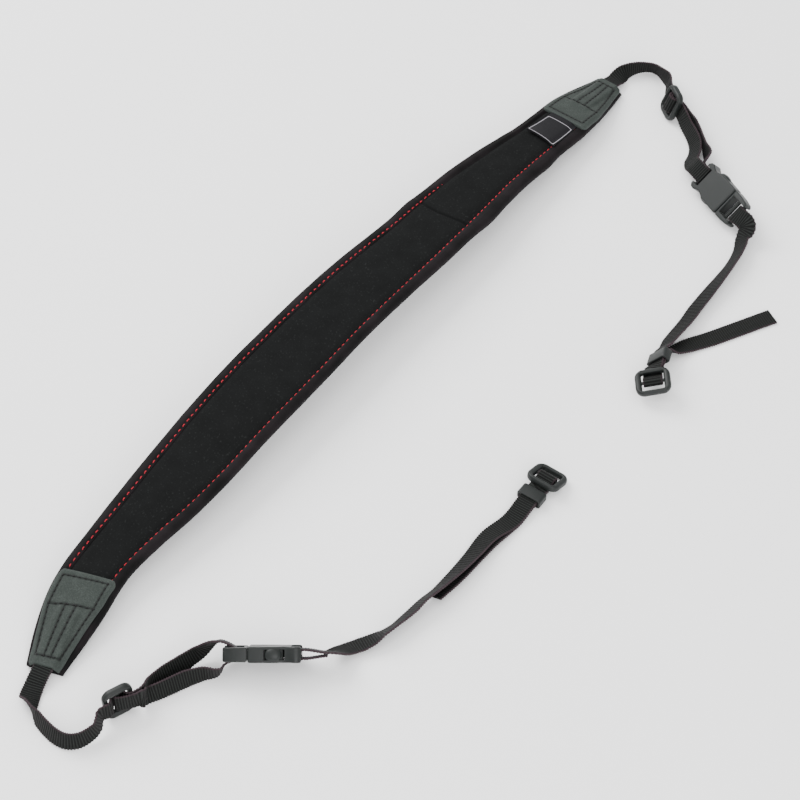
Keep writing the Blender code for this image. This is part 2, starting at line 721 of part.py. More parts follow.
def make_male(shop, name, matrix):
    """The plug half: base from X = 0 to its web bar, spine and two prongs towards -X."""
    bm = bmesh.new()
    outline = [(x * MALE_LENGTH + GAP, y * BUCKLE_WIDTH / 2) for x, y in MALE_OUTLINE]
    prism(bm, outline + [(x, -y) for x, y in reversed(outline)], MALE_THICK)
    male = shop.piece(name, bm, "black_plastic", matrix)
    shop.round_edges(male, BUCKLE_EDGE, angle=60)
    room = BUCKLE_WINDOW_WIDTH / 2
    slot = bmesh.new()
    box(slot, (MALE_FRONT, 2 * MALE_LENGTH), (-room, room), (-BUCKLE_THICK, BUCKLE_THICK))
    shop.tool(male, "web_slot", slot, "DIFFERENCE")
    for place, x in (("middle", middle_bar_x()), ("rear", male_bar_x())):
        cross = bmesh.new()
        bar(cross, x, BUCKLE_BAR_RADIUS, BUCKLE_WINDOW_WIDTH + BUCKLE_WALL)
        shop.tool(male, f"{place}_bar", cross, "UNION")
    inside = CAVITY_HEIGHT - 2 * GAP
    root = MALE_FRONT / 2
    spine = bmesh.new()
    box(spine, (-SPINE_REACH, root), (-SPINE_WIDTH / 2, SPINE_WIDTH / 2),
        (-inside / 2, inside / 2))
    shop.tool(male, "spine", spine, "UNION")
    clear = CAVITY_WIDTH / 2 - GAP
    button = BUCKLE_WIDTH / 2 - BUCKLE_EDGE / 2
    front, back = FEMALE_FRONT + 2 * GAP, CAVITY_DEPTH - 2 * GAP
    prong = [
        (root, clear - PRONG_WIDTH), (root, clear), (-front, clear),
        (-front - 0.12 * (back - front), button), (-front - 0.70 * (back - front), button),
        (-back + GAP, clear), (-back, clear - PRONG_WIDTH),
    ]
    for side, name_end in ((1, "left"), (-1, "right")):
        arm = bmesh.new()
        prism(arm, [(x, side * y) for x, y in prong], inside)
        shop.tool(male, f"prong_{name_end}", arm, "UNION")


# Assembly


def pad_knots(end):
    """Knots of the web's end between the pad and the patch, out to the pad's tip."""
    knots = []
    for from_tip in (WEB_TUCK, 0.66 * WEB_TUCK, 0.33 * WEB_TUCK, 0.0):
        place, side, _, thick = pad_frame(end * (1 - from_tip / TIP))
        height = thick + PAD_CROWN + GAP + WEB_THICK / 2
        point = place + UP * height
        knots.append((to_world(point, end), to_world(side, end)))
    return knots


def glide_thread(matrix, run):
    """Knots of a web that passes under, over and under the bars of a slider."""
    under = GLIDE_END_RADIUS + WEB_ON_BAR
    over = GLIDE_BAR_RADIUS + WEB_ON_BAR + LAYER
    end = GLIDE_BAR_PITCH + run
    path = belt((-end, -under), (-GLIDE_BAR_PITCH, 0, under, 1), (0, 0, over, -1),
                (GLIDE_BAR_PITCH, 0, under, 1), (end, -under))
    return threaded(matrix, path)


def glide_loop(matrix, run):
    """Knots of the web's end that comes back under a slider and turns round its bar."""
    under = GLIDE_END_RADIUS + WEB_ON_BAR + LAYER
    around = GLIDE_BAR_RADIUS + WEB_ON_BAR
    path = belt((GLIDE_BAR_PITCH + run, -under - LAYER / 2),
                (GLIDE_BAR_PITCH, 0, under, -1), (0, 0, around, -1),
                (around, -GLIDE_BAR_RADIUS / 2))
    return threaded(matrix, path)


def make_lead(shop, where, end, slider, buckle, bar_x):
    """Lead web: patch, slider, buckle bar and back to the slider's own bar."""
    slider_place = Vector((slider.translation.x, slider.translation.y, 0))
    bar_place = buckle @ Vector((bar_x, 0, 0))
    knots = pad_knots(end)
    tip = knots[-1][0]
    reach, drop = LEAD_REACH[where], PLACES[where]["slider"][1]
    plan = [Vector((TIP + out * reach, -share * drop, 0))
            for out, share, _, _ in LEAD_ROWS[where]]
    chain = [Vector((tip.x, tip.y, 0))] + plan + [slider_place]
    for k, (_, _, roll, lift) in enumerate(LEAD_ROWS[where]):
        height = resting_height(roll, WEB_WIDTH, WEB_THICK) + lift * tip.z
        knots.append((plan[k] + UP * height, rolled(chain[k + 2] - chain[k], roll)))
    knots += glide_thread(slider, GLIDE_RUN)
    knots += free_knots(slider_place, bar_place, INNER_ROWS[where], WEB_WIDTH, WEB_WIDTH)
    (entry_back, entry_up), (exit_back, exit_down) = BAR_ENTRY[where], BAR_EXIT[where]
    path = belt((bar_x - entry_back, entry_up), (bar_x, 0, BUCKLE_WEB_RADIUS, -1),
                (bar_x - exit_back, -exit_down))
    knots += threaded(buckle, path)
    rows = OUTER_ROWS[where]
    outer = free_knots(slider_place, bar_place, rows[::-1], WEB_WIDTH, WEB_WIDTH)
    knots += outer[::-1]
    knots += glide_loop(slider, GLIDE_RUN)
    make_web(shop, f"lead_web_{where}", knots, end)


def tail_glide(where):
    """Pose of a tail's tri-glide, which leans on the layers under its near bar."""
    place = PLACES[where]["triglide"]
    near_rise, far_rise = TAIL_GLIDE_RISE[where]
    pitch = asin((near_rise - far_rise) / (GLIDE_BAR_PITCH + GLIDE_LENGTH / 2))
    tilt = sin(radians(place[3])) * (GLIDE_WIDTH - GLIDE_RAIL) / 2
    height = GAP + GLIDE_END_RADIUS + tilt + far_rise + sin(pitch) * GLIDE_LENGTH / 2
    return pose(place, height, -pitch)


def tail_thread(matrix):
    """Knots of a tail from its keeper through the tri-glide and back to the keeper."""
    under = GLIDE_END_RADIUS + WEB_ON_BAR
    start = -GLIDE_BAR_PITCH - GLIDE_END_BAR / 2
    path = belt((start, -under), (-GLIDE_BAR_PITCH, 0, under, 1),
                (0, 0, GLIDE_BAR_RADIUS + WEB_ON_BAR, -1),
                (-GLIDE_BAR_PITCH, 0, under + LAYER, -1), (start, -under - LAYER))
    return threaded(matrix, path)


def keeper_middle(where):
    """Pose of a keeper that rests on the surface."""
    place = PLACES[where]["keeper"]
    return pose(place, resting_height(place[3], KEEPER_WIDTH, KEEPER_HEIGHT))


def keeper_thread(matrix, layer):
    """Knots of one layer through a keeper: 1 for the upper one, -1 for the one that
    comes back under it. The layer leaves both mouths straight."""
    half = KEEPER_LENGTH / 2
    stops = (-half - KEEPER_RUN, -half, half, half + KEEPER_RUN)
    return threaded(matrix, [(layer * x, layer * LAYER / 2) for x in stops])


def free_end(where):
    """Knots of a tail's free end, which lies on the surface beyond the keeper."""
    rows = FREE_ROWS[where]
    plan = [Vector((TIP + out, -drop, 0)) for out, drop, _ in rows]
    chain = [keeper_middle(where).translation] + plan + [2 * plan[-1] - plan[-2]]
    knots = []
    for k, (_, _, roll) in enumerate(rows):
        along = chain[k + 2] - chain[k]
        height = resting_height(roll, WEB_WIDTH, WEB_THICK)
        knots.append((plan[k] + UP * height, -rolled(along, -roll)))
    return knots


def make_tail(shop, where, end, buckle, bar_x):
    """Tail web: sewn round the buckle's bar, keeper, tri-glide, keeper and free end."""
    stub = WEB_STUB[where]
    path = belt((bar_x + stub, -LAYER / 2), (bar_x, 0, BUCKLE_WEB_RADIUS, -1),
                (bar_x + stub + 2 * GAP, LAYER / 2))
    knots = threaded(buckle, path)
    keeper = keeper_middle(where)
    bar_place = buckle @ Vector((bar_x, 0, 0))
    line = keeper.translation - bar_place
    span = hypot(line.x, line.y)
    knots += free_knots(bar_place, keeper.translation, TAIL_ROWS[where], span, LAYER)
    knots += keeper_thread(keeper, 1)
    knots += tail_thread(tail_glide(where))
    knots += keeper_thread(keeper, -1)
    knots += free_end(where)
    make_web(shop, f"tail_web_{where}", knots, end)


def make_end(shop, where, end):
    """Everything beyond one end of the pad."""
    make_patch(shop, f"end_patch_{where}", end)
    places = PLACES[where]
    slider = pose(places["slider"],
                  resting_height(places["slider"][3], GLIDE_WIDTH, GLIDE_THICK))
    buckle = pose(places["buckle"],
                  resting_height(places["buckle"][3], BUCKLE_WIDTH, BUCKLE_THICK))
    make_triglide(shop, f"slider_{where}", piece_matrix(slider, end))
    make_keeper(shop, f"keeper_{where}", piece_matrix(keeper_middle(where), end))
    make_triglide(shop, f"triglide_{where}", piece_matrix(tail_glide(where), end))
    half = BUCKLE_LENGTH / 2
    if where == "far":
        mouth = FEMALE_LENGTH - half
        halves = buckle @ Matrix.Translation((mouth, 0, 0))
        pad_bar, tail_bar = mouth + female_bar_x(), mouth + male_bar_x()
    else:
        mouth = MALE_LENGTH - half
        halves = buckle @ Matrix.Translation((mouth, 0, 0)) @ Matrix.Rotation(pi, 4, "Z")
        pad_bar, tail_bar = mouth - middle_bar_x(), mouth - female_bar_x()
    make_female(shop, f"buckle_female_{where}", piece_matrix(halves, end))
    make_male(shop, f"buckle_male_{where}", piece_matrix(halves, end))
    make_lead(shop, where, end, slider, buckle, pad_bar)
    make_tail(shop, where, end, buckle, tail_bar)


def centre_strap(shop):
    """Move every piece so that the origin lies under the middle of the whole strap."""
    bpy.context.view_layer.update()
    graph = bpy.context.evaluated_depsgraph_get()
    low, high = Vector((9, 9, 9)), Vector((-9, -9, -9))
    for item in shop.parts.objects:
        mesh = item.evaluated_get(graph).to_mesh()
        for vertex in mesh.vertices:
            place = item.matrix_world @ vertex.co
            low = Vector(map(min, low, place))
            high = Vector(map(max, high, place))
        item.evaluated_get(graph).to_mesh_clear()
    middle = (low + high) / 2
    shift = Matrix.Translation((-middle.x, -middle.y, -low.z))
    for item in list(shop.parts.objects) + list(shop.cutters.objects):
        item.matrix_world = shift @ item.matrix_world


def main():
    """Build the whole strap."""
    shop = Workshop()
    make_pad(shop)
    make_label(shop)
    make_end(shop, "near", -1)
    make_end(shop, "far", 1)
    centre_strap(shop)


main()
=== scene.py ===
"""Looks of a padded camera neck strap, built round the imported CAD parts.

The pad, its bindings, the end patches and the label tab are lofted from the strap's own
tables. The webbing follows the rings of the CAD webs, the slides and keepers are moulded
frames in the CAD parts' places, and the buckles keep the shape of the CAD halves.
Stitches and woven ribs are Geometry Nodes.
"""
import math

import bmesh
import bpy
from mathutils import Matrix, Vector, noise


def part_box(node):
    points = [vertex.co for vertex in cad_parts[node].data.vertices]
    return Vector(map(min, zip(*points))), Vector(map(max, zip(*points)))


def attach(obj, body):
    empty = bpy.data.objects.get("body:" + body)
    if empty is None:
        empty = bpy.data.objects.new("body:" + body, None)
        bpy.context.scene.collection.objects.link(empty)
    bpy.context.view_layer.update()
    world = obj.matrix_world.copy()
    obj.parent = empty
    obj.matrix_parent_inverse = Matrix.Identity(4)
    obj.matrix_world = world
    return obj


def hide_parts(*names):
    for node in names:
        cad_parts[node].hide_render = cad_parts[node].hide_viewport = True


bl_info = {
    "name": "Camera Neck Strap",
    "version": (1, 0, 0),
    "blender": (4, 5, 0),
    "location": "View3D > Sidebar > Neck Strap",
    "description": "Builds the looks of a padded camera neck strap",
    "category": "Object",
}

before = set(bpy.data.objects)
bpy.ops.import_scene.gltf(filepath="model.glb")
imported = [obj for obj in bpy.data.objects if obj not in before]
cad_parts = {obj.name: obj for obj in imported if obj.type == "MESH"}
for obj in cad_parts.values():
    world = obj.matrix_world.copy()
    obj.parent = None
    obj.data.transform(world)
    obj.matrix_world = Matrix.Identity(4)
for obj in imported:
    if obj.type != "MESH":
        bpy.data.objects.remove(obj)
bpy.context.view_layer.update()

MM = 0.001
# Angles in degrees past which an edge stays sharp in a piece's shading
CLOTH_SHARP = 60
TRIM_SHARP = 50
BUCKLE_SHARP = 48
BUTTON_SHARP = 80

# The pad's sizes, as in the CAD source
PAD_LENGTH = 0.498
PAD_WIDTH = 0.0467
PAD_THICK = 0.0064
PAD_TIP_THICK = 0.0032
PAD_ARCH = 0.019
PAD_BOW = 0.0132
PAD_CROWN = 0.0007
PAD_TIP_INSET = 0.0015
PAD_RING_PITCH = 0.013
PAD_TONGUE = 0.2
# How far apart two stations are that give the pad's heading
HEADING_STEP = 0.004
PATCH_LENGTH = 0.049
PATCH_WIDTH = 0.0272
PATCH_THICK = 0.0013
# Width of each patch against the CAD outline, at its wide edge and at its tip
PATCH_GROWTH = {-1: (1.08, 0.95), 1: (1.08, 0.96)}
# How far a patch's wide edge runs aslant, and how far the patch lies to the side
PATCH_SKEW = {-1: 0.0026, 1: 0.0}
PATCH_SIDE = {-1: -0.0005, 1: -0.0011}
# How a patch lies over the web, the bindings, its seams and its rim
PATCH_FOOT = 0.45
PATCH_SLOPE = 0.35
BULGE_START = 0.0004
BULGE_FALL = 0.0026
ROLL_DROP = 0.0012
ROLL_REACH = 0.0035
PATCH_REST = 0.0001
PATCH_CROWN = 0.6
PATCH_SEAM_DEPTH = 0.00024
PATCH_SEAM_SPREAD_MM = 0.55
RIM_ROUND = 0.0007
RIM_DROP = 0.0006
RIM_WEAR = 0.0011
# Thickness that a patch shows: at its rim, and elsewhere
PATCH_SKIRT = (0.0012, 0.0015)
# How far its seams, rim and underside are shaded
SEAM_SHADE = 0.9
RIM_SHADE = 0.55
UNDER_SHADE = 0.4
# Rows of points along a patch, closer at its ends, and columns across it
PATCH_END_ROWS = [0.0, 0.003, 0.008]
PATCH_MIDDLE = (0.014, 0.986)
PATCH_ROWS = 76
PATCH_COLUMNS = 48
LABEL_WIDTH = 0.0178
LABEL_LENGTH = 0.0235
LABEL_SIDE = -0.0022
# The label's share of its width at the patch and at its free end, and how it lies
LABEL_TAPER = (0.96, 1.06)
LABEL_TUCK = 0.0006
LABEL_END = LABEL_LENGTH + 0.0002
LABEL_REST = 0.001
LABEL_LIFT = 0.0017
LABEL_WAVE = 0.0005
LABEL_HEM = 0.0003
LABEL_HEM_FROM = (0.86, 0.1)
LABEL_HALF_THICK = 0.00035
LABEL_BORDER_START = 3.9
LABEL_STEPS = 24
WEB_WIDTH = 0.010
WEB_THICK = 0.0011
WEB_TUCK = 0.018
GAP = 0.0003
# The webbing: its face's level on a rib, steps in a rib, scallop and pressed thickness
RIB_LEVEL = 0.62
RIB_STEPS = 5
SELVEDGE_SCALLOP = 0.025
WEB_PRESSED = 0.94
# How close corners and lengths of a CAD mesh are when they are the same
SAME_POINT = 2e-6
SAME_LENGTH = 4e-6
# Share of a CAD web's rings that have to join up
RINGS_NEEDED = 0.9
TIP = PAD_LENGTH / 2

# Tri-glide and keeper sizes, as in the CAD source
GLIDE_THICK = 0.0036
GLIDE_RAIL = 0.0034
GLIDE_END_BAR = 0.0024
GLIDE_CORNER = 0.0046
GLIDE_SIDE_ROOM = 0.0009
GLIDE_BAR_RADIUS = 0.0009
GLIDE_THREAD_ROOM = 0.0007
KEEPER_LENGTH = 0.0068
KEEPER_WALL = 0.0013
KEEPER_SIDE_ROOM = 0.0005
WEB_ON_BAR = GAP + WEB_THICK / 2
LAYER = WEB_THICK + GAP
GLIDE_BAR_PITCH = (GLIDE_THICK / 2 + WEB_ON_BAR + GLIDE_BAR_RADIUS + WEB_ON_BAR + LAYER
                   + GLIDE_THREAD_ROOM)
GLIDE_LENGTH = 2 * GLIDE_BAR_PITCH + GLIDE_END_BAR
GLIDE_WINDOW = WEB_WIDTH + 2 * GLIDE_SIDE_ROOM
GLIDE_WIDTH = GLIDE_WINDOW + 2 * GLIDE_RAIL
# Rounding of each moulded edge, and of the corners of each opening
GLIDE_EDGE = 0.0013
GLIDE_WINDOW_CORNER = 0.0009
GLIDE_BELLY = 0.04
GLIDE_BAR_FLARE = 0.0003
KEEPER_EDGE = 0.0005
KEEPER_CORNERS = (0.0016, 0.0006)
BUCKLE_EDGE = 0.00025
# No rounding takes more than this share of a wall, and a bar flares past this share
EDGE_LIMIT = 0.48
BAR_FLARE_START = 0.72
KEEPER_WIDTH = WEB_WIDTH + 2 * (KEEPER_SIDE_ROOM + KEEPER_WALL)
KEEPER_HEIGHT = 2 * WEB_THICK + 3 * GAP + 2 * KEEPER_WALL

# Buckle sizes, as in the CAD source, and the oval buttons in its side windows
BUCKLE_WIDTH = 0.018
BUCKLE_THICK = 0.0076
FEMALE_LENGTH = 0.0252
MALE_LENGTH = 0.0115
BUTTON_PLACE = -0.0119
BUTTON_DEPTH = 0.0076
BUTTON_SIZE = (0.0042, 0.0024, 0.0034)
BUTTON_ROUNDNESS = 0.85

# Station along the pad, share of its width, share of its bow
PAD_SECTIONS = [
    (-1.00, 0.40, 0.00), (-0.93, 0.53, 0.42), (-0.86, 0.64, 0.76), (-0.80, 0.67, 0.96),
    (-0.74, 0.69, 1.02), (-0.66, 0.77, 1.00), (-0.58, 0.86, 0.95), (-0.48, 0.93, 0.94),
    (-0.36, 0.97, 0.99), (-0.24, 1.00, 1.00), (-0.12, 0.995, 0.97), (0.00, 0.98, 0.95),
    (0.12, 0.96, 0.85), (0.26, 0.92, 0.68), (0.40, 0.90, 0.58), (0.48, 0.86, 0.54),
    (0.56, 0.79, 0.46), (0.64, 0.72, 0.34), (0.72, 0.67, 0.23), (0.80, 0.65, 0.16),
    (0.86, 0.64, 0.13), (0.93, 0.53, 0.08), (1.00, 0.40, 0.02),
]

# Patch outline: share of the length from the wide edge, share of the width
PATCH_OUTLINE = [
    (0.00, 0.88), (0.02, 0.95), (0.06, 1.00), (0.16, 1.00), (0.31, 1.00), (0.48, 0.91),
    (0.64, 0.82), (0.80, 0.73), (0.90, 0.685), (0.96, 0.65), (0.99, 0.61), (1.00, 0.57),
]

# Patch seams in mm: from the wide edge, to the side
PATCH_SEAMS = [[Vector(point) for point in seam] for seam in (
    [(3.2, 11.3), (3.2, -11.3), (18.0, -11.0), (44.6, -6.0), (44.6, 6.0), (18.0, 11.0),
     (3.2, 11.3)],
    [(18.0, 11.0), (18.0, -11.0)],
    [(18.0, 2.6), (44.6, 1.7)],
    [(18.0, -2.6), (44.6, -1.7)],
)]

# The crease across the pad, in the strap's plan
CREASE = [Vector(point) * MM for point in (
    (93.4, 27.5), (90.5, 18.0), (90.3, 10.0), (91.6, 0.0), (93.0, -8.5))]
CREASE_REACH = (0.0861, 0.0979)
CREASE_DEPTH = 0.0006
CREASE_SPREAD = 0.00095

# Bindings: how far each one's band reaches in over the panel, and how that changes
BANDS = {1: 0.0070, -1: 0.0058}
OUTER_TAPER = 0.0009
FAR_BAND = 0.0014
# The station at which each change starts, and over how much it goes on
OUTER_NARROWS = (0.2, 0.25)
INNER_WIDENS = (0.1, 0.4)
INNER_NARROWS = (0.7, 0.2)
# Under this share of the pad's full width, the bands get narrower with the pad
BAND_FULL_WIDTH = 0.8
# The band's step over the seam, its lip and its puff, and the face's dip at the seam
BAND_STEP = 0.00045
BAND_LIP = 0.0004
BAND_PUFF = 0.0003
SEAM_DIP = 0.0007
SEAM_SPREAD = 0.0016
FACE_REST = 0.0002
# The red stitches: place on each band, reach along the pad, groove and unevenness
STITCH_INSETS = {1: 0.0016, -1: 0.0007}
STITCH_REACH = 0.84
STITCH_DIP = 0.00025
STITCH_DIP_SPREAD = 0.00045
STITCH_WOBBLE = 0.16
# The outer ones sink under the binding: how deep, and from which station over how much
STITCH_SINK = 0.0012
STITCHES_SINK = (0.40, 0.12)
# Length and radius of each stitch
EDGE_STITCH = (0.0023, 0.00028)
PATCH_STITCH = (0.0021, 0.00036)
# What the crease does to a binding: share of its depth, and how far it pulls the edge in
CREASE_ON_BAND = 0.7
CREASE_PINCH = 0.0005
# The foam's soft unevenness: scale and height of its broad and its fine waves
UNEVEN = ((55, 0.00022), (190, 0.00008))
# The pad's rounded tips: length, and share of the way out with share of the thickness
TIP_ROUND = 0.0011
TIP_SQUEEZE = [(0.35, 0.96), (0.7, 0.84), (0.95, 0.6)]
# Steps in the meshes along the pad, its crease, its face, a roll, a band and a seam line
PAD_STEPS = 300
CREASE_STEPS = 36
FACE_STEPS = 32
ROLL_STEPS = 16
BAND_STEPS = 12
STITCH_STEPS = 400
# How evenly the points across the pad and the patches are spread, 0 being a half circle
EVENNESS = 0.6
# How far the soft edge stands out past the CAD edge: station, outer side, inner side
EDGE_PUFF = [
    (-1.00, 0.0, 0.0002), (-0.92, 0.0003, 0.0016), (-0.84, 0.0002, 0.0016),
    (-0.74, 0.0004, 0.0004), (-0.50, 0.0002, 0.0), (-0.20, 0.0, 0.0),
    (0.10, 0.0001, 0.0001), (0.28, 0.0001, 0.0004), (0.345, 0.0009, 0.0002),
    (0.375, 0.0004, 0.0004), (0.43, 0.0001, 0.0013), (0.50, 0.0003, 0.0008),
    (0.60, 0.0007, 0.0010), (0.66, 0.0004, 0.0019), (0.71, 0.0001, 0.0009),
    (0.80, 0.0002, 0.0014), (0.85, 0.0002, 0.0006), (0.93, 0.0003, 0.0006),
    (1.00, 0.0, 0.0),
]

# The lights: size and place. The setting with each one's power has the same first word
LIGHTS = {
    "key": (1.1, (0.15, 1.25, 1.15)),
    "fill": (2.2, (-0.2, -0.2, 1.9)),
    "front": (0.9, (-0.9, -1.0, 0.75)),
}
SKY_COLOUR = "#fafafb"
# The photograph's camera: place and direction in the strap's plan, and film width in mm
CAMERA_PLACE = (-0.6648, -0.5057, 0.955)
CAMERA_AIM = (0.5223, 0.3747, -0.7660)
FILM_WIDTH = 36.0
CAMERA_REACH = (0.05, 30.0)

# Where the hardware lies at each end: out, drop, heading, roll
PLACES = {
    "near": {
        "slider": (-0.0039, 0.0432, 202.0, 95.0),
        "buckle": (-0.0639, 0.0819, 234.5, 52.0),
        "keeper": (-0.2208, 0.1302, 180.0, 0.0),
        "triglide": (-0.2340, 0.1307, 181.0, 0.0),
    },
    "far": {
        "slider": (0.0026, 0.0402, 232.0, 70.0),
        "buckle": (-0.0449, 0.1012, 243.3, 42.0),
        "keeper": (-0.1653, 0.1358, 199.0, 50.0),
        "triglide": (-0.1826, 0.1423, 218.0, 14.0),
    },
}
TAIL_GLIDE_RISE = {"near": (0.0044, 0.0), "far": (0.0060, 0.0044)}
ENDS = {"near": -1, "far": 1}
UP = Vector((0, 0, 1))
MIRROR_X = Matrix.Diagonal((-1, 1, 1, 1))
MIRROR_Y = Matrix.Diagonal((1, -1, 1, 1))


def linear(hex_colour, alpha=1.0):
    """A linear colour from an sRGB hex value."""
    parts = [int(hex_colour[i:i + 2], 16) / 255 for i in (1, 3, 5)]
    parts = [c / 12.92 if c <= 0.04045 else ((c + 0.055) / 1.055) ** 2.4 for c in parts]
    return (*parts, alpha)


def lerp(a, b, share):
    """The value a given share of the way from a to b."""
    return a + (b - a) * share


def ease(share):
    """A share from 0 to 1 with soft ends."""
    share = max(0.0, min(share, 1.0))
    return share * share * (3 - 2 * share)


def ease_from(change, place):
    """How much of a change is done at a place, given where it starts and its reach."""
    start, reach = change
    return ease((place - start) / reach)


def smooth_step(start, slope_in, end, slope_out, t):
    """A share of the way along a smooth curve with a given slope at each end."""
    return (start * (2 * t**3 - 3 * t**2 + 1) + slope_in * (t**3 - 2 * t**2 + t)
            + end * (3 * t**2 - 2 * t**3) + slope_out * (t**3 - t**2))


def smooth_table(rows, x):
    """Every column after the first at x, on a smooth curve through the rows."""
    last = len(rows) - 2
    i = next((k for k in range(last) if x <= rows[k + 1][0]), last)
    before, start = rows[max(i - 1, 0)], rows[i]
    end, after = rows[i + 1], rows[min(i + 2, len(rows) - 1)]
    span = end[0] - start[0]
    t = (x - start[0]) / span
    result = []
    for a, b, c, d in zip(before[1:], start[1:], end[1:], after[1:]):
        slope_in = (c - a) / (end[0] - before[0]) * span
        slope_out = (d - b) / (after[0] - start[0]) * span
        result.append(smooth_step(b, slope_in, c, slope_out, t))
    return result


# Meshes


def new_object(name, bm):
    """A new object in the scene from a bmesh."""
    mesh = bpy.data.meshes.new(name)
    bm.to_mesh(mesh)
    bm.free()
    item = bpy.data.objects.new(name, mesh)
    bpy.context.scene.collection.objects.link(item)
    return item


def finish_piece(name, bm, material=None, smooth_angle=180):
    """A shown piece from a bmesh: doubles merged, faces out, sharp past an angle."""
    bmesh.ops.remove_doubles(bm, verts=bm.verts, dist=1e-7)
    bmesh.ops.recalc_face_normals(bm, faces=bm.faces)
    limit = math.radians(smooth_angle)
    for face in bm.faces:
        face.smooth = True
    for edge in bm.edges:
        edge.smooth = len(edge.link_faces) == 2 and edge.calc_face_angle(0) < limit
    item = new_object(name, bm)
    if material:
        item.data.materials.append(material)
    return item


def settle(item, *nodes):
    """Let a finished piece ride on the frame and stand for its CAD nodes."""
    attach(item, "root")
    if nodes:
        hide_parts(*nodes)
    return item


def loft(bm, rings, caps=True, layers=None):
    """Join closed rings of equal length with quads. Layers hold a value list per ring."""
    layers = {bm.verts.layers.float.new(name): rows
              for name, rows in (layers or {}).items()}
    made = [[bm.verts.new(p) for p in ring] for ring in rings]
    for layer, rows in layers.items():
        for ring, row in zip(made, rows):
            for vert, value in zip(ring, row):
                vert[layer] = value
    count = len(rings[0])
    for lower, upper in zip(made, made[1:]):
        for k in range(count):
            j = (k + 1) % count
            bm.faces.new((lower[k], lower[j], upper[j], upper[k]))
    if caps:
        bm.faces.new(made[0][::-1])
        bm.faces.new(made[-1])


def circle(radius, count):
    """Points of a circle, as pairs."""
    return [(radius * math.cos(a), radius * math.sin(a))
            for a in (2 * math.pi * j / count for j in range(count))]


def make_plain(item):
    """Turn what an item's modifiers make into its plain mesh."""
    graph = bpy.context.evaluated_depsgraph_get()
    mesh = bpy.data.meshes.new_from_object(item.evaluated_get(graph))
    if not mesh.vertices:
        raise RuntimeError(f"nothing is left of {item.name}")
    item.modifiers.clear()
    old = item.data
    item.data = mesh
    bpy.data.meshes.remove(old)


def run_tree(item, tree, values):
    """Turn what a node tree makes of an item into its plain, smooth mesh."""
    modifier = item.modifiers.new(tree.name, "NODES")
    modifier.node_group = tree
    sockets = {s.name: s.identifier for s in tree.interface.items_tree
               if s.in_out == "INPUT"}
    for name, value in values.items():
        modifier[sockets[name]] = value
    make_plain(item)
    for face in item.data.polygons:
        face.use_smooth = True


# Materials


def join(tree, node, inputs):
    """Link or set a node's inputs. A node stands for its own first output."""
    for key, value in inputs.items():
        if isinstance(value, bpy.types.Node):
            value = value.outputs[0]
        if isinstance(value, bpy.types.NodeSocket):
            tree.links.new(value, node.inputs[key])
        else:
            node.inputs[key].default_value = value
    return node


def add(tree, kind, inputs=None, stops=(), **settings):
    """Add a node, set its properties and colour stops, and link or set its inputs."""
    made = tree.nodes.new(kind)
    for key, value in settings.items():
        setattr(made, key, value)
    if stops:
        elements = made.color_ramp.elements
        elements[0].position, elements[0].color = stops[0]
        elements[1].position, elements[1].color = stops[-1]
        for place, colour in stops[1:-1]:
            elements.new(place).color = colour
    return join(tree, made, inputs or {})


def new_material(name, **sockets):
    """A Principled BSDF material with plain values on the shader's own sockets."""
    material = bpy.data.materials.new(name)
    material.use_nodes = True
    shader = material.node_tree.nodes["Principled BSDF"]
    for key, value in sockets.items():
        shader.inputs[key.replace("_", " ")].default_value = value
    return material, material.node_tree, shader


def per_mm(size_mm):
    """The scale of a noise whose blobs are so many mm across."""
    return 1 / (size_mm * MM)


def brushed_stretch_fabric(look):
    """Brushed nylon stretch fabric over foam: matt, with a soft nap that greys its face,
    and faint mottling where the nap lies another way."""
    material, tree, shader = new_material(
        "brushed_stretch_fabric", Roughness=0.92, Specular_IOR_Level=0.1,
        Sheen_Weight=0.02, Sheen_Roughness=0.45, Sheen_Tint=linear("#b9b4b8"))
    place = add(tree, "ShaderNodeTexCoord").outputs["Object"]
    mottle = add(tree, "ShaderNodeTexNoise", {
        "Vector": place, "Scale": per_mm(9.0), "Detail": 3.0})
    # The knit's 0.3 mm loops are too fine to show, so the nap is drawn at 0.7 mm
    nap = add(tree, "ShaderNodeTexNoise", {"Vector": place, "Scale": per_mm(0.7)})
    tone = add(tree, "ShaderNodeMath", {0: nap, 1: 0.45}, operation="MULTIPLY")
    tone = add(tree, "ShaderNodeMath", {0: tone, 1: mottle}, operation="ADD")
    colour = add(tree, "ShaderNodeValToRGB", {0: tone}, [
        (0.5, look.pad_shade), (1.0, look.pad_face)])
    # A few pale specks of lint, and painted shade at the bottom of the crease
    specks = add(tree, "ShaderNodeTexNoise", {
        "Vector": place, "Scale": per_mm(0.9), "Detail": 0.0})
    lint = add(tree, "ShaderNodeMapRange", {0: specks, 1: 0.69, 2: 0.8, 3: 0.0, 4: 0.22})
    linty = add(tree, "ShaderNodeMix", {0: lint, 6: colour, 7: linear("#343635")},
                data_type="RGBA").outputs[2]
    fold = add(tree, "ShaderNodeAttribute", attribute_name="fold").outputs["Fac"]
    folded = add(tree, "ShaderNodeMix", {0: fold, 6: linty, 7: linear("#060707")},
                 data_type="RGBA").outputs[2]
    bump = add(tree, "ShaderNodeBump", {
        "Height": nap, "Strength": 0.6, "Distance": 0.16 * MM})
    bump = add(tree, "ShaderNodeBump", {
        "Height": mottle, "Strength": 0.15, "Distance": 0.4 * MM, "Normal": bump})
    join(tree, shader, {"Base Color": folded, "Normal": bump})
    return material


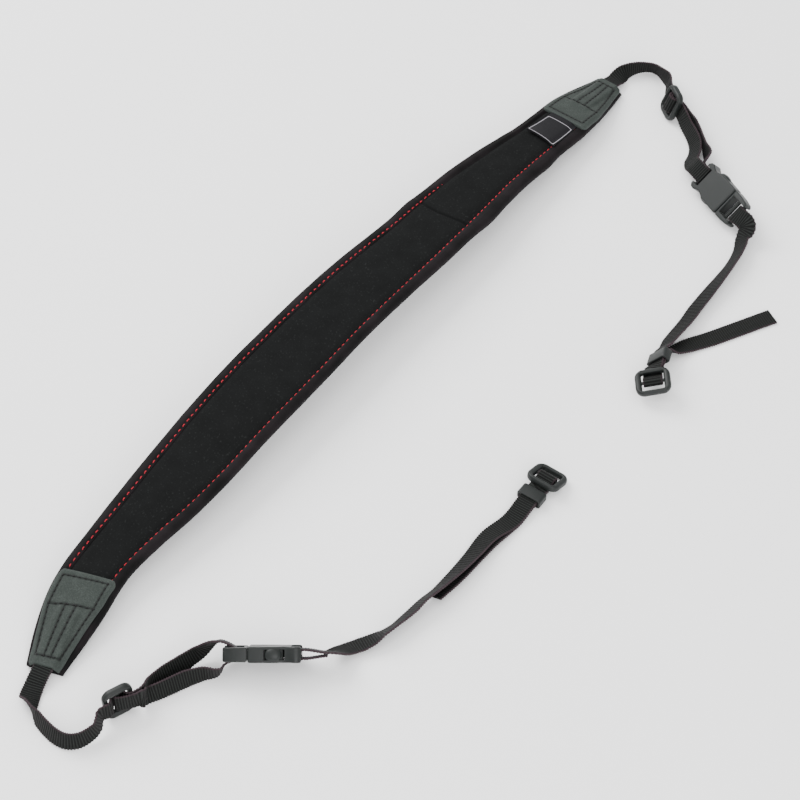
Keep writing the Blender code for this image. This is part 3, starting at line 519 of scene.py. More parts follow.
def knitted_binding_tape(look):
    """Knitted polyester binding, folded and sewn: smoother and blacker than the face,
    with a greyish bloom where it turns over the edge, and a mauve tint in its lighter
    mottle that is painted sheen."""
    material, tree, shader = new_material(
        "knitted_binding_tape", Roughness=0.75, Specular_IOR_Level=0.1,
        Sheen_Weight=0.09, Sheen_Roughness=0.35, Sheen_Tint=linear("#c4b4bc"))
    place = add(tree, "ShaderNodeTexCoord").outputs["Object"]
    # The knit's 0.3 mm loops are drawn at 0.8 mm so that they show
    grain = add(tree, "ShaderNodeTexNoise", {"Vector": place, "Scale": per_mm(0.8)})
    mottle = add(tree, "ShaderNodeTexNoise", {"Vector": place, "Scale": per_mm(14.0)})
    # The lighter mottle colour is tinted mauve, a painted sheen, besides the shader's own
    # sheen
    colour = add(tree, "ShaderNodeValToRGB", {0: mottle}, [
        (0.35, look.binding_shade), (0.7, look.binding_tone_and_painted_sheen)])
    bump = add(tree, "ShaderNodeBump", {
        "Height": grain, "Strength": 0.35, "Distance": 0.12 * MM})
    join(tree, shader, {"Base Color": colour, "Normal": bump})
    return material


def suede_leather(look):
    """Matt split leather: fine velvety grain, lighter along its rubbed rim, and darker in
    the seams."""
    material, tree, shader = new_material(
        "suede_leather", Roughness=0.85, Specular_IOR_Level=0.15,
        Sheen_Weight=0.03, Sheen_Roughness=0.5)
    place = add(tree, "ShaderNodeTexCoord").outputs["Object"]
    # Suede grain is about 0.2 mm, drawn at 0.6 mm so that it shows
    grain = add(tree, "ShaderNodeTexNoise", {
        "Vector": place, "Scale": per_mm(0.6), "Detail": 3.0, "Roughness": 0.6})
    cloud = add(tree, "ShaderNodeTexNoise", {
        "Vector": place, "Scale": per_mm(6.0), "Detail": 3.0})
    tone = add(tree, "ShaderNodeMath", {0: cloud, 1: 0.4}, operation="MULTIPLY")
    tone = add(tree, "ShaderNodeMath", {0: grain, 1: tone}, operation="ADD")
    base = add(tree, "ShaderNodeValToRGB", {0: tone}, [
        (0.42, look.patch_shade), (0.7, look.patch_face), (0.98, look.patch_rim)])
    seam = add(tree, "ShaderNodeAttribute", attribute_name="seam").outputs["Fac"]
    dark = add(tree, "ShaderNodeMix", {0: seam, 6: base, 7: linear("#0d0f0e")},
               data_type="RGBA").outputs[2]
    rim = add(tree, "ShaderNodeAttribute", attribute_name="rim").outputs["Fac"]
    worn = add(tree, "ShaderNodeMix", {0: rim, 6: dark, 7: look.patch_rim},
               data_type="RGBA").outputs[2]
    bump = add(tree, "ShaderNodeBump", {
        "Height": grain, "Strength": 0.5, "Distance": 0.14 * MM})
    bump = add(tree, "ShaderNodeBump", {
        "Height": cloud, "Strength": 0.15, "Distance": 0.3 * MM, "Normal": bump})
    join(tree, shader, {"Base Color": worn, "Normal": bump})
    return material


def polyester_thread(name, colour, shade):
    """Twisted polyester sewing thread: a soft gleam and two plies that turn round it."""
    material, tree, shader = new_material(
        name, Roughness=0.6, Specular_IOR_Level=0.2, Sheen_Weight=0.03,
        Sheen_Roughness=0.4)
    plies = add(tree, "ShaderNodeTexWave", {
        "Vector": add(tree, "ShaderNodeTexCoord").outputs["Object"],
        "Scale": 0.25 / (0.6 * MM), "Distortion": 1.5},
        bands_direction="DIAGONAL").outputs["Fac"]
    tone = add(tree, "ShaderNodeValToRGB", {0: plies}, [(0.2, shade), (0.8, colour)])
    bump = add(tree, "ShaderNodeBump", {
        "Height": plies, "Strength": 0.4, "Distance": 0.08 * MM})
    join(tree, shader, {"Base Color": tone, "Normal": bump})
    return material


def woven_webbing(look):
    """Woven polypropylene webbing: dull dark green-grey, with cross ribs, thread floats
    along it and a mauve sheen. Its colour is a painted highlight on the ribs' crests and
    painted shade between them, and a painted mauve sheen lies on the selvedges."""
    material, tree, shader = new_material(
        "woven_polypropylene_webbing", Roughness=0.7, Specular_IOR_Level=0.12,
        Sheen_Weight=0.06, Sheen_Roughness=0.4, Sheen_Tint=linear("#cbb6c0"))
    run = add(tree, "ShaderNodeAttribute", attribute_name="run").outputs["Fac"]
    across = add(tree, "ShaderNodeAttribute", attribute_name="across").outputs["Fac"]
    run_mm = add(tree, "ShaderNodeMath", {0: run, 1: 1 / MM}, operation="MULTIPLY")
    across_mm = add(tree, "ShaderNodeMath", {0: across, 1: WEB_WIDTH / 2 / MM},
                    operation="MULTIPLY")
    cloth = add(tree, "ShaderNodeCombineXYZ", {0: run_mm, 1: across_mm})
    # Warp floats are 0.25 mm wide, drawn at 0.8 mm so that they show
    weave = add(tree, "ShaderNodeTexBrick", {
        "Vector": cloth, "Color1": (1, 1, 1, 1), "Color2": (0.65, 0.65, 0.65, 1),
        "Mortar": (0, 0, 0, 1), "Scale": 1.0, "Mortar Size": 0.12, "Mortar Smooth": 0.8,
        "Brick Width": 2 * look.rib_pitch / MM, "Row Height": 0.8}).outputs["Color"]
    fibre = add(tree, "ShaderNodeTexNoise", {"Vector": cloth, "Scale": 1.6,
                                             "Detail": 3.0}).outputs["Fac"]
    # Painted light: the ribs' crests get a lighter colour as a painted highlight, and the
    # hollows between them a darker one as painted shade
    rib = add(tree, "ShaderNodeAttribute", attribute_name="rib").outputs["Fac"]
    raised = add(tree, "ShaderNodeMath", {0: rib, 1: 0.8}, operation="MULTIPLY")
    tone = add(tree, "ShaderNodeMath", {0: fibre, 1: 0.35}, operation="MULTIPLY")
    tone = add(tree, "ShaderNodeMath", {0: tone, 1: raised}, operation="ADD")
    base = add(tree, "ShaderNodeValToRGB", {0: tone}, [
        (0.3, look.web_shade), (0.72, look.web_face), (0.97, look.web_rib)])
    # Painted sheen: the colour turns mauve towards the selvedges
    edge = add(tree, "ShaderNodeMath", {0: across}, operation="ABSOLUTE")
    edge = add(tree, "ShaderNodeMapRange", {0: edge, 1: 0.86, 2: 1.0})
    mixed = add(tree, "ShaderNodeMix", {0: edge, 6: base, 7: look.web_edge},
                data_type="RGBA").outputs[2]
    bump = add(tree, "ShaderNodeBump", {
        "Height": weave, "Strength": 0.45, "Distance": 0.12 * MM})
    bump = add(tree, "ShaderNodeBump", {
        "Height": fibre, "Strength": 0.3, "Distance": 0.12 * MM, "Normal": bump})
    join(tree, shader, {"Base Color": mixed, "Normal": bump})
    return material


def moulded_acetal(look):
    """Injection-moulded acetal: satin dark grey, finely sparked texture, slightly
    uneven gloss, so rims catch the light."""
    material, tree, shader = new_material(
        "moulded_acetal", Roughness=0.42, IOR=1.48, Specular_IOR_Level=0.25)
    place = add(tree, "ShaderNodeTexCoord").outputs["Object"]
    # Spark texture is about 0.1 mm, drawn at 0.45 mm so that it shows
    spark = add(tree, "ShaderNodeTexNoise", {"Vector": place, "Scale": per_mm(0.45)})
    cloud = add(tree, "ShaderNodeTexNoise", {"Vector": place, "Scale": per_mm(5.0)})
    colour = add(tree, "ShaderNodeValToRGB", {0: cloud}, [
        (0.3, look.plastic_shade), (0.75, look.plastic_face)])
    gloss = add(tree, "ShaderNodeMapRange", {0: cloud, 1: 0.2, 2: 0.8, 3: 0.36, 4: 0.5})
    bump = add(tree, "ShaderNodeBump", {
        "Height": spark, "Strength": 0.16, "Distance": 0.08 * MM})
    join(tree, shader, {"Base Color": colour, "Roughness": gloss, "Normal": bump})
    return material


def woven_label_tape(look):
    """Woven damask tape, bare: black satin ground with one thin pale border thread."""
    material, tree, shader = new_material(
        "woven_label_tape", Roughness=0.65, Specular_IOR_Level=0.15, Sheen_Weight=0.04,
        Sheen_Roughness=0.4)
    u = add(tree, "ShaderNodeAttribute", attribute_name="tab_u").outputs["Fac"]
    v = add(tree, "ShaderNodeAttribute", attribute_name="tab_v").outputs["Fac"]
    place = add(tree, "ShaderNodeCombineXYZ", {0: u, 1: v})
    threads = add(tree, "ShaderNodeTexWave", {
        "Vector": place, "Scale": 0.25 / 0.6, "Distortion": 0.4},
        bands_direction="Y").outputs["Fac"]
    inset = add(tree, "ShaderNodeAttribute", attribute_name="inset").outputs["Fac"]
    off = add(tree, "ShaderNodeMath", {0: inset, 1: 0.8}, operation="SUBTRACT")
    off = add(tree, "ShaderNodeMath", {0: off}, operation="ABSOLUTE")
    line = add(tree, "ShaderNodeMapRange", {0: off, 1: 0.08, 2: 0.24, 3: 1.0, 4: 0.0})
    ground = add(tree, "ShaderNodeValToRGB", {0: threads}, [
        (0.2, linear("#08080a")), (0.9, linear("#131216"))])
    mixed = add(tree, "ShaderNodeMix", {0: line, 6: ground, 7: look.label_line},
                data_type="RGBA").outputs[2]
    bump = add(tree, "ShaderNodeBump", {
        "Height": threads, "Strength": 0.4, "Distance": 0.1 * MM})
    join(tree, shader, {"Base Color": mixed, "Normal": bump})
    return material


# Geometry Nodes trees


def node_tree(name, inputs):
    """A Geometry Nodes tree with named inputs, its given sockets and its end node."""
    tree = bpy.data.node_groups.new(name, "GeometryNodeTree")
    for way in ("INPUT", "OUTPUT"):
        tree.interface.new_socket("Geometry", in_out=way,
                                  socket_type="NodeSocketGeometry")
    for label, kind in inputs.items():
        tree.interface.new_socket(label, in_out="INPUT", socket_type="NodeSocket" + kind)
    given, result = tree.nodes.new("NodeGroupInput"), tree.nodes.new("NodeGroupOutput")
    return tree, given.outputs, result


def stitch_tree():
    """Stitches laid at an even pitch along seam lines, each turned along its seam."""
    tree, given, result = node_tree("sewn_stitches", {
        "Pitch": "Float", "Stitch": "Object", "Thread": "Material", "Unevenness": "Float",
        "Seed": "Int"})
    line = add(tree, "GeometryNodeMeshToCurve", {"Mesh": given["Geometry"]})
    even = add(tree, "GeometryNodeResampleCurve", {"Curve": line,
                                                   "Length": given["Pitch"]},
               mode="LENGTH")
    along = add(tree, "GeometryNodeInputTangent")
    turned = add(tree, "FunctionNodeAlignRotationToVector", {"Vector": along}, axis="X")
    upright = add(tree, "FunctionNodeAlignRotationToVector",
                  {"Rotation": turned, "Vector": (0, 0, 1)}, axis="Z", pivot_axis="X")
    wobble = add(tree, "FunctionNodeRandomValue", {
        "Min": (0, 0, -STITCH_WOBBLE), "Max": (0, 0, STITCH_WOBBLE),
        "Seed": given["Seed"]}, data_type="FLOAT_VECTOR")
    wobble = add(tree, "ShaderNodeVectorMath", {0: wobble, 3: given["Unevenness"]},
                 operation="SCALE")
    turn = add(tree, "FunctionNodeEulerToRotation", {0: wobble})
    rotation = add(tree, "FunctionNodeRotateRotation", {0: upright, 1: turn},
                   rotation_space="LOCAL")
    thread = add(tree, "GeometryNodeObjectInfo", {"Object": given["Stitch"],
                                                  "As Instance": True})
    placed = add(tree, "GeometryNodeInstanceOnPoints", {
        "Points": even, "Instance": thread.outputs["Geometry"], "Rotation": rotation})
    real = add(tree, "GeometryNodeRealizeInstances", {0: placed})
    dressed = add(tree, "GeometryNodeSetMaterial", {"Geometry": real,
                                                    "Material": given["Thread"]})
    join(tree, result, {0: dressed})
    return tree


def rib_tree():
    """Cross ribs on a web: its face rises and falls with the length that has run."""
    tree, given, result = node_tree("woven_ribs", {
        "Pitch": "Float", "Depth": "Float", "Webbing": "Material"})
    run = add(tree, "GeometryNodeInputNamedAttribute", {"Name": "run"},
              data_type="FLOAT")
    turns = add(tree, "ShaderNodeMath", {0: run, 1: given["Pitch"]}, operation="DIVIDE")
    angle = add(tree, "ShaderNodeMath", {0: turns, 1: math.pi}, operation="MULTIPLY")
    wave = add(tree, "ShaderNodeMath", {0: angle}, operation="SINE")
    crest = add(tree, "ShaderNodeMath", {0: wave}, operation="ABSOLUTE")
    height = add(tree, "ShaderNodeMath", {0: crest, 1: RIB_LEVEL}, operation="SUBTRACT")
    height = add(tree, "ShaderNodeMath", {0: height, 1: given["Depth"]},
                 operation="MULTIPLY")
    move = add(tree, "ShaderNodeVectorMath", {
        0: add(tree, "GeometryNodeInputNormal"), 3: height}, operation="SCALE")
    # The crest is kept as rib, for the webbing's painted highlight on its ribs and
    # painted shade between them
    marked = add(tree, "GeometryNodeStoreNamedAttribute", {
        "Geometry": given["Geometry"], "Name": "rib", "Value": crest},
        data_type="FLOAT", domain="POINT")
    moved = add(tree, "GeometryNodeSetPosition", {"Geometry": marked, "Offset": move})
    real = add(tree, "GeometryNodeRealizeInstances", {0: moved})
    dressed = add(tree, "GeometryNodeSetMaterial", {"Geometry": real,
                                                    "Material": given["Webbing"]})
    join(tree, result, {0: dressed})
    return tree


def single_stitch(length, radius):
    """A hidden stitch for the instances: a thread that dives down at both ends."""
    bm = bmesh.new()
    rings = []
    for k in range(9):
        t = lerp(-1, 1, k / 8)
        thin = radius * max(0.25, (1 - abs(t) ** 4) ** 0.5)
        lift = radius * 0.45 - 1.5 * radius * t * t
        rings.append([(t * length / 2, y, lift + z) for y, z in circle(thin, 8)])
    loft(bm, rings)
    item = finish_piece("stitch_pattern", bm)
    item.hide_render = True
    return item


def sew(name, lines, size, thread, pitch, seed, tree):
    """Stitches of a length and radius along lines of points, as one plain mesh."""
    stitch = single_stitch(*size)
    bm = bmesh.new()
    for line in lines:
        verts = [bm.verts.new(p) for p in line]
        for a, b in zip(verts, verts[1:]):
            bm.edges.new((a, b))
    item = new_object(name, bm)
    run_tree(item, tree, {"Pitch": pitch, "Stitch": stitch, "Thread": thread,
                          "Unevenness": 1.0, "Seed": seed})
    bpy.data.objects.remove(stitch)
    settle(item)


# The pad


def pad_line(station):
    """Centre of the pad's underside, its width and its thickness at a station."""
    width_share, bow_share = smooth_table(PAD_SECTIONS, station)
    share = ease((1 - abs(station)) * TIP / PATCH_LENGTH)
    thick = lerp(PAD_TIP_THICK, PAD_THICK, share)
    height = GAP + PAD_ARCH * (1 - station * station)
    centre = Vector((station * TIP, bow_share * PAD_BOW, height))
    return centre, width_share * PAD_WIDTH, thick


def pad_frame(station):
    """Position, outward side direction, width and thickness of the pad at a station."""
    low = pad_line(max(station - HEADING_STEP, -1))[0]
    high = pad_line(min(station + HEADING_STEP, 1))[0]
    along = Vector((high.x - low.x, high.y - low.y, 0)).normalized()
    place, width, thick = pad_line(station)
    return place, Vector((-along.y, along.x, 0)), width, thick


def strap_shift():
    """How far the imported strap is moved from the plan, read from the pad's box."""
    low, high = Vector((9, 9, 9)), Vector((-9, -9, -9))
    end = 1 - PAD_TIP_INSET / TIP
    count = math.ceil(PAD_LENGTH / PAD_RING_PITCH)
    for k in range(count + 1):
        place, side, width, thick = pad_frame(lerp(-end, end, k / count))
        tongue = width / 2 - thick * PAD_TONGUE - GAP
        for v in (tongue, -tongue):
            point = place + side * v
            low, high = Vector(map(min, low, point)), Vector(map(max, high, point))
    box_low, box_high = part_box("neck_pad")
    return Vector(((box_low.x + box_high.x - low.x - high.x) / 2,
                   (box_low.y + box_high.y - low.y - high.y) / 2, box_low.z - low.z))


SHIFT = strap_shift()


def line_distance(here, line):
    """Distance in the plan from a point to a line of points."""
    best = math.inf
    for a, b in zip(line, line[1:]):
        t = max(0, min((here - a).dot(b - a) / (b - a).length_squared, 1))
        best = min(best, (here - a.lerp(b, t)).length)
    return best


def crease_drop(point):
    """How deep the crease across the pad is at a point of the plan."""
    distance = line_distance(point.xy, CREASE)
    return CREASE_DEPTH * math.exp(-(distance / CREASE_SPREAD) ** 2)


def unevenness(point):
    """The soft unevenness of hand-sewn foam, in metres."""
    (broad, high), (fine, low) = UNEVEN
    return (high * noise.noise(point * broad)
            + low * noise.noise(point * fine + Vector((7, 3, 1))))


def outer_taper(station, sign):
    """How much narrower the outer binding's band gets towards the far end."""
    return OUTER_TAPER * ease_from(OUTER_NARROWS, station) if sign > 0 else 0


def stitch_inset(station, sign):
    """How far the stitches run from the inner edge of a binding's band."""
    return STITCH_INSETS[sign] - outer_taper(station, sign)


def band_edge(station, width, sign):
    """How far from the middle a binding's band starts."""
    band = BANDS[sign] - outer_taper(station, sign)
    if sign < 0:
        band += FAR_BAND * (ease_from(INNER_WIDENS, station)
                            - ease_from(INNER_NARROWS, station))
    return width / 2 - band * min(1, width / (BAND_FULL_WIDTH * PAD_WIDTH))


def panel_height(station, v, width, thick):
    """Height of the panel's face over the pad's underside."""
    sign = 1 if v >= 0 else -1
    edge = band_edge(station, width, sign)
    inside = max(edge - abs(v), 0)
    crown = PAD_CROWN * (1 - min(abs(v) / edge, 1) ** 2)
    return thick - FACE_REST + crown - SEAM_DIP * math.exp(-(inside / SEAM_SPREAD) ** 2)


def panel_ring(station, squeeze):
    """Section of the panel: a flat underside and a crowned face."""
    place, side, width, thick = pad_frame(station)
    low, high = -band_edge(station, width, -1), band_edge(station, width, 1)
    thick *= squeeze
    ring = []
    for k in range(FACE_STEPS + 1):
        share = 0.5 - 0.5 * math.cos(math.pi * k / FACE_STEPS)
        v = lerp(high, low, lerp(share, k / FACE_STEPS, EVENNESS))
        point = place + side * v
        height = panel_height(station, v, width, thick)
        height -= crease_drop(point)
        ring.append(point + UP * (height + unevenness(point)))
    ring += [place + side * lerp(low, high, k / 6) for k in range(7)]
    # The crease's depth at each point also sets the painted shade in the crease
    return [p + SHIFT for p in ring], [crease_drop(p) / CREASE_DEPTH for p in ring]


def binding_height(u, roll, inset):
    """Height over the seam level of a binding's band, u from its inner edge."""
    lip = BAND_STEP * ease(u / BAND_LIP)
    stitch = STITCH_DIP * math.exp(-((u - inset) / STITCH_DIP_SPREAD) ** 2)
    puff = BAND_PUFF * math.sin(math.pi * min(u / roll, 1))
    return lip + puff - stitch


def binding_ring_points(station, sign, squeeze):
    """Section of one binding: its band on the face, its rolled edge and its underside."""
    place, side, width, thick = pad_frame(station)
    half, edge = width / 2, band_edge(station, width, sign)
    half += smooth_table(EDGE_PUFF, station)[0 if sign > 0 else 1]
    thick *= squeeze
    radius = thick / 2
    centre = half - radius
    seam = thick - FACE_REST - SEAM_DIP
    points = [(edge, 0.0), (edge, seam * 0.5)]
    for k in range(BAND_STEPS + 1):
        u = (centre - edge) * (k / BAND_STEPS) ** 1.4
        rise = lerp(seam, thick, ease(u / (centre - edge)))
        lift = binding_height(u, centre - edge, stitch_inset(station, sign))
        points.append((edge + u, rise - BAND_STEP + lift))
    top = points[-1][1] / 2
    for k in range(1, ROLL_STEPS):
        angle = math.radians(90 - 180 * k / ROLL_STEPS)
        points.append((centre + radius * math.cos(angle), top + top * math.sin(angle)))
    points.append((centre, 0.0))
    ring = []
    for v, height in points:
        point = place + side * (sign * v)
        drop = crease_drop(point) * (CREASE_ON_BAND if height > thick / 2 else 0)
        pinch = CREASE_PINCH * crease_drop(point) / CREASE_DEPTH
        loose = unevenness(point) if height > 0 else 0
        ring.append(point - side * sign * pinch * (v - edge) / (half - edge)
                    + UP * max(height - drop + loose, 0))
    return [p + SHIFT for p in ring]


def pad_stations():
    """Close, even stations, with a few more that round off the pad's tips."""
    end = 1 - PAD_TIP_INSET / TIP
    places = [lerp(-end, end, k / PAD_STEPS) for k in range(PAD_STEPS + 1)]
    places += [lerp(*CREASE_REACH, k / CREASE_STEPS) / TIP
               for k in range(CREASE_STEPS + 1)]
    rows = [(place, 1.0) for place in sorted(places)]
    extra = [(end + share * TIP_ROUND / TIP, squeeze) for share, squeeze in TIP_SQUEEZE]
    return [(-s, q) for s, q in reversed(extra)] + rows + extra


def make_pad(look, materials):
    """The padded panel, the two bindings and their red stitches."""
    rows = pad_stations()
    bm = bmesh.new()
    # The crease depths go with the rings, for the painted shade in the crease
    rings, painted_crease_shades = zip(*(panel_ring(*row) for row in rows))
    loft(bm, rings, layers={"fold": painted_crease_shades})
    panel = finish_piece("pad_panel", bm, materials["fabric"], CLOTH_SHARP)
    settle(panel, "neck_pad")
    lines = []
    for name, sign in (("outer", 1), ("inner", -1)):
        bm = bmesh.new()
        loft(bm, [binding_ring_points(s, sign, q) for s, q in rows])
        roll = finish_piece(f"binding_roll_{name}", bm, materials["binding"],
                            CLOTH_SHARP)
        settle(roll, f"edge_binding_{name}")
        lines.append([stitch_point(
            lerp(-STITCH_REACH, STITCH_REACH, k / (STITCH_STEPS - 1)), sign)
            for k in range(STITCH_STEPS)])
    sew("edge_stitches", lines, EDGE_STITCH, materials["red_thread"], look.stitch_pitch,
        3, materials["stitches"])


def stitch_point(station, sign):
    """A point of a red stitch line, in its groove on a binding's band."""
    place, side, width, thick = pad_frame(station)
    u = stitch_inset(station, sign)
    edge = band_edge(station, width, sign)
    roll = width / 2 - thick / 2 - edge
    height = lerp(thick - FACE_REST - SEAM_DIP, thick, ease(u / roll)) - BAND_STEP
    point = place + side * (sign * (edge + u))
    height += binding_height(u, roll, u) - CREASE_ON_BAND * crease_drop(point)
    if sign > 0:
        height -= STITCH_SINK * ease_from(STITCHES_SINK, station)
    return point + UP * (height + unevenness(point)) + SHIFT


# Patches and label


def patch_half(along, end):
    """Half the patch's width, with round corners at its wide edge."""
    share = smooth_table(PATCH_OUTLINE, max(0, min(along, 1)))[0]
    wide, tip = PATCH_GROWTH[end]
    return share * PATCH_WIDTH / 2 * lerp(wide, tip, along)


def patch_top(along, v, half, from_tip):
    """Height of the patch's face over the pad's underside, and its seam and rim shade."""
    width, thick = pad_line(1 - from_tip / TIP)[1:]
    foot = WEB_TUCK + PATCH_FOOT * PATCH_LENGTH
    raised = LAYER * ease((foot - from_tip) / (PATCH_SLOPE * PATCH_LENGTH))
    bulge = 1 - ease((abs(v) - WEB_WIDTH / 2 + BULGE_START) / BULGE_FALL)
    over_roll = ROLL_DROP * ease((abs(v) - width / 2 + ROLL_REACH) / ROLL_REACH)
    here = Vector((along * PATCH_LENGTH / MM, v / MM))
    distance = min(line_distance(here, line) for line in PATCH_SEAMS)
    seam = math.exp(-(distance / PATCH_SEAM_SPREAD_MM) ** 2)
    edge = min(half - abs(v), along * PATCH_LENGTH, (1 - along) * PATCH_LENGTH)
    edge = max(edge, 0)
    soft = 1 - math.sqrt(max(0, 1 - (1 - min(edge / RIM_ROUND, 1)) ** 2))
    base = thick + PAD_CROWN * PATCH_CROWN + PATCH_REST
    height = base + raised * bulge - over_roll + PATCH_THICK - PATCH_SEAM_DEPTH * seam
    return height - soft * RIM_DROP, seam, 1 - min(edge / RIM_WEAR, 1)


def make_patch(where, materials, look):
    """A stitched leather patch, arched over the web that is tucked under it."""
    end = ENDS[where]
    rings, seams, rims = [], [], []
    middle = PATCH_COLUMNS // 2
    alongs = [lerp(*PATCH_MIDDLE, k / PATCH_ROWS) for k in range(PATCH_ROWS + 1)]
    alongs = PATCH_END_ROWS + alongs + [1 - a for a in reversed(PATCH_END_ROWS)]
    for along in alongs:
        half = patch_half(along, end)
        ring, seam_row, rim_row = [], [], []
        for k in range(PATCH_COLUMNS + 1):
            even = lerp(-1, 1, k / PATCH_COLUMNS)
            v = half * lerp(math.sin(math.pi / 2 * even), even, EVENNESS)
            point, seam, rim = patch_place(end, along, v, half)
            ring.append(point)
            seam_row.append(SEAM_SHADE * seam)
            rim_row.append(RIM_SHADE * rim)
        floor = [p - UP * PATCH_SKIRT[abs(k - middle) < middle - 1]
                 for k, p in reversed(list(enumerate(ring)))]
        rings.append([p + SHIFT for p in ring + floor])
        seams.append(seam_row + seam_row[::-1])
        rims.append(rim_row + [UNDER_SHADE] * len(rim_row))
    bm = bmesh.new()
    loft(bm, rings, layers={"seam": seams, "rim": rims})
    patch = finish_piece(f"leather_patch_{where}", bm, materials["leather"], TRIM_SHARP)
    settle(patch, f"end_patch_{where}")
    lines = []
    for seam in PATCH_SEAMS:
        line = []
        for a, b in zip(seam, seam[1:]):
            steps = max(2, round((b - a).length))
            line += [patch_point(where, *a.lerp(b, k / steps)) for k in range(steps)]
        line.append(patch_point(where, *seam[-1]))
        lines.append(line)
    sew(f"patch_stitches_{where}", lines, PATCH_STITCH, materials["black_thread"],
        look.patch_pitch, 11, materials["stitches"])


def patch_place(end, along, v, half):
    """A point of a patch's face in the plan, with its seam and rim shade."""
    from_tip = (1 - along) * PATCH_LENGTH
    from_tip += PATCH_SKEW[end] * v / (PATCH_WIDTH / 2) * min(from_tip / WEB_TUCK, 1)
    place, side = pad_frame(end * (1 - from_tip / TIP))[:2]
    shift = PATCH_SIDE[end] * min(from_tip / WEB_TUCK, 1)
    height, seam, rim = patch_top(along, v, half, from_tip)
    return place + side * (end * v + shift) + UP * height, seam, rim


def patch_point(where, x, y):
    """A point on a patch's face, from its wide edge and to the side in mm."""
    along, v, end = x * MM / PATCH_LENGTH, y * MM, ENDS[where]
    return patch_place(end, along, v, patch_half(along, end))[0] + SHIFT


def make_label(materials):
    """The bare folded label tab beside the far patch, its free end a little lifted."""
    rings, us, vs, insets = [], [], [], []
    for k in range(LABEL_STEPS + 1):
        share = k / LABEL_STEPS
        from_tip = lerp(PATCH_LENGTH - LABEL_TUCK, PATCH_LENGTH + LABEL_END, share)
        place, side, width, thick = pad_frame(1 - from_tip / TIP)
        ring, us_row, vs_row, inset_row = [], [], [], []
        for j in range(LABEL_STEPS + 1):
            across = j / LABEL_STEPS - 0.5
            v = LABEL_SIDE + LABEL_WIDTH * lerp(*LABEL_TAPER, share) * across
            base = panel_height(1 - from_tip / TIP, v, width, thick)
            wave = LABEL_WAVE * share * math.sin(2.4 * v / LABEL_WIDTH + 0.6)
            lift = LABEL_LIFT * share**2.5 + wave
            ring.append(place + side * v + UP * (base + lift + LABEL_REST))
            us_row.append(share * LABEL_LENGTH / MM)
            vs_row.append(v / MM)
            inset_row.append(min(LABEL_WIDTH * (0.5 - abs(across)) / MM,
                                 (1 - share) * LABEL_LENGTH / MM,
                                 share * LABEL_LENGTH / MM - LABEL_BORDER_START))
        thin = LABEL_HALF_THICK + LABEL_HEM * ease_from(LABEL_HEM_FROM, share)
        floor = [p - UP * (2 * thin) for p in reversed(ring)]
        rings.append([p + SHIFT for p in ring + floor])
        us.append(us_row + us_row[::-1])
        vs.append(vs_row + vs_row[::-1])
        insets.append(inset_row + [0.0] * len(inset_row))
    bm = bmesh.new()
    loft(bm, rings, layers={"tab_u": us, "tab_v": vs, "inset": insets})
    label = finish_piece("label_fold", bm, materials["label"], TRIM_SHARP)
    settle(label, "label_tab")


# Webbing


def merged_copy(node):
    """A bmesh of a CAD node's loose triangles, joined at their corners."""
    bm = bmesh.new()
    bm.from_mesh(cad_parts[node].data)
    bmesh.ops.remove_doubles(bm, verts=bm.verts, dist=SAME_POINT)
    return bm


def web_rings(node):
    """Rings of a CAD web in order: centre and width direction of each."""
    bm = merged_copy(node)

    def others(vert, length):
        """Corners at the other ends of a corner's edges of a length."""
        return [e.other_vert(vert) for e in vert.link_edges
                if abs(e.calc_length() - length) < SAME_LENGTH]

    ring_of, rings = {}, []
    for vert in bm.verts:
        if vert in ring_of:
            continue
        for across in others(vert, WEB_WIDTH):
            found = [(up, far) for up in others(vert, WEB_THICK)
                     for far in others(across, WEB_THICK)
                     if far in others(up, WEB_WIDTH)]
            if found and across not in ring_of:
                up, far = found[0]
                ring = (vert, across, far, up)
                for corner in ring:
                    ring_of[corner] = len(rings)
                rings.append(ring)
                break
    links = [set() for _ in rings]
    for edge in bm.edges:
        a, b = (ring_of.get(v) for v in edge.verts)
        if a is not None and b is not None and a != b:
            links[a].add(b)
            links[b].add(a)
    here = next(k for k, near in enumerate(links) if len(near) == 1)
    order, seen = [here], {here}
    while True:
        ahead = [k for k in links[here] if k not in seen]
        if not ahead:
            break
        here = ahead[0]
        order.append(here)
        seen.add(here)
    if len(order) < RINGS_NEEDED * len(rings):
        raise RuntimeError(f"{node}: only {len(order)} of {len(rings)} rings joined")
    result, last = [], None
    for k in order:
        a, b, c, d = (v.co.copy() for v in rings[k])
        if last:
            turns = [(a, b, c, d), (b, a, d, c), (d, c, b, a), (c, d, a, b)]
            a, b, c, d = min(turns, key=lambda t: sum(
                (p - q).length for p, q in zip(t, last)))
        last = (a, b, c, d)
        result.append(((a + b + c + d) / 4, (b - a).normalized()))
    bm.free()
    return result


def web_curve(rings, step):
    """Close, even places along a web: point and width direction."""
    points = [r[0] for r in rings]
    curve = []
    for i in range(len(points) - 1):
        before, after = points[max(i - 1, 0)], points[min(i + 2, len(points) - 1)]
        start, end = points[i], points[i + 1]
        chord = (end - start).length
        slope_in = tangent(before, start, end) * chord
        slope_out = tangent(start, end, after) * chord
        count = max(1, math.ceil(chord / step))
        for k in range(count):
            t = k / count
            place = smooth_step(start, slope_in, end, slope_out, t)
            smooth = ease(t) * 0.5 + t * 0.5
            curve.append((place, rings[i][1].lerp(rings[i + 1][1], smooth)))
    curve.append((points[-1], rings[-1][1]))
    return curve


def tangent(before, here, after):
    """Direction of a smooth curve at the middle one of three points."""
    back, forth = here - before, after - here
    if back.length < 1e-9:
        return forth.normalized()
    if forth.length < 1e-9:
        return back.normalized()
    return (back / back.length**2 + forth / forth.length**2).normalized()


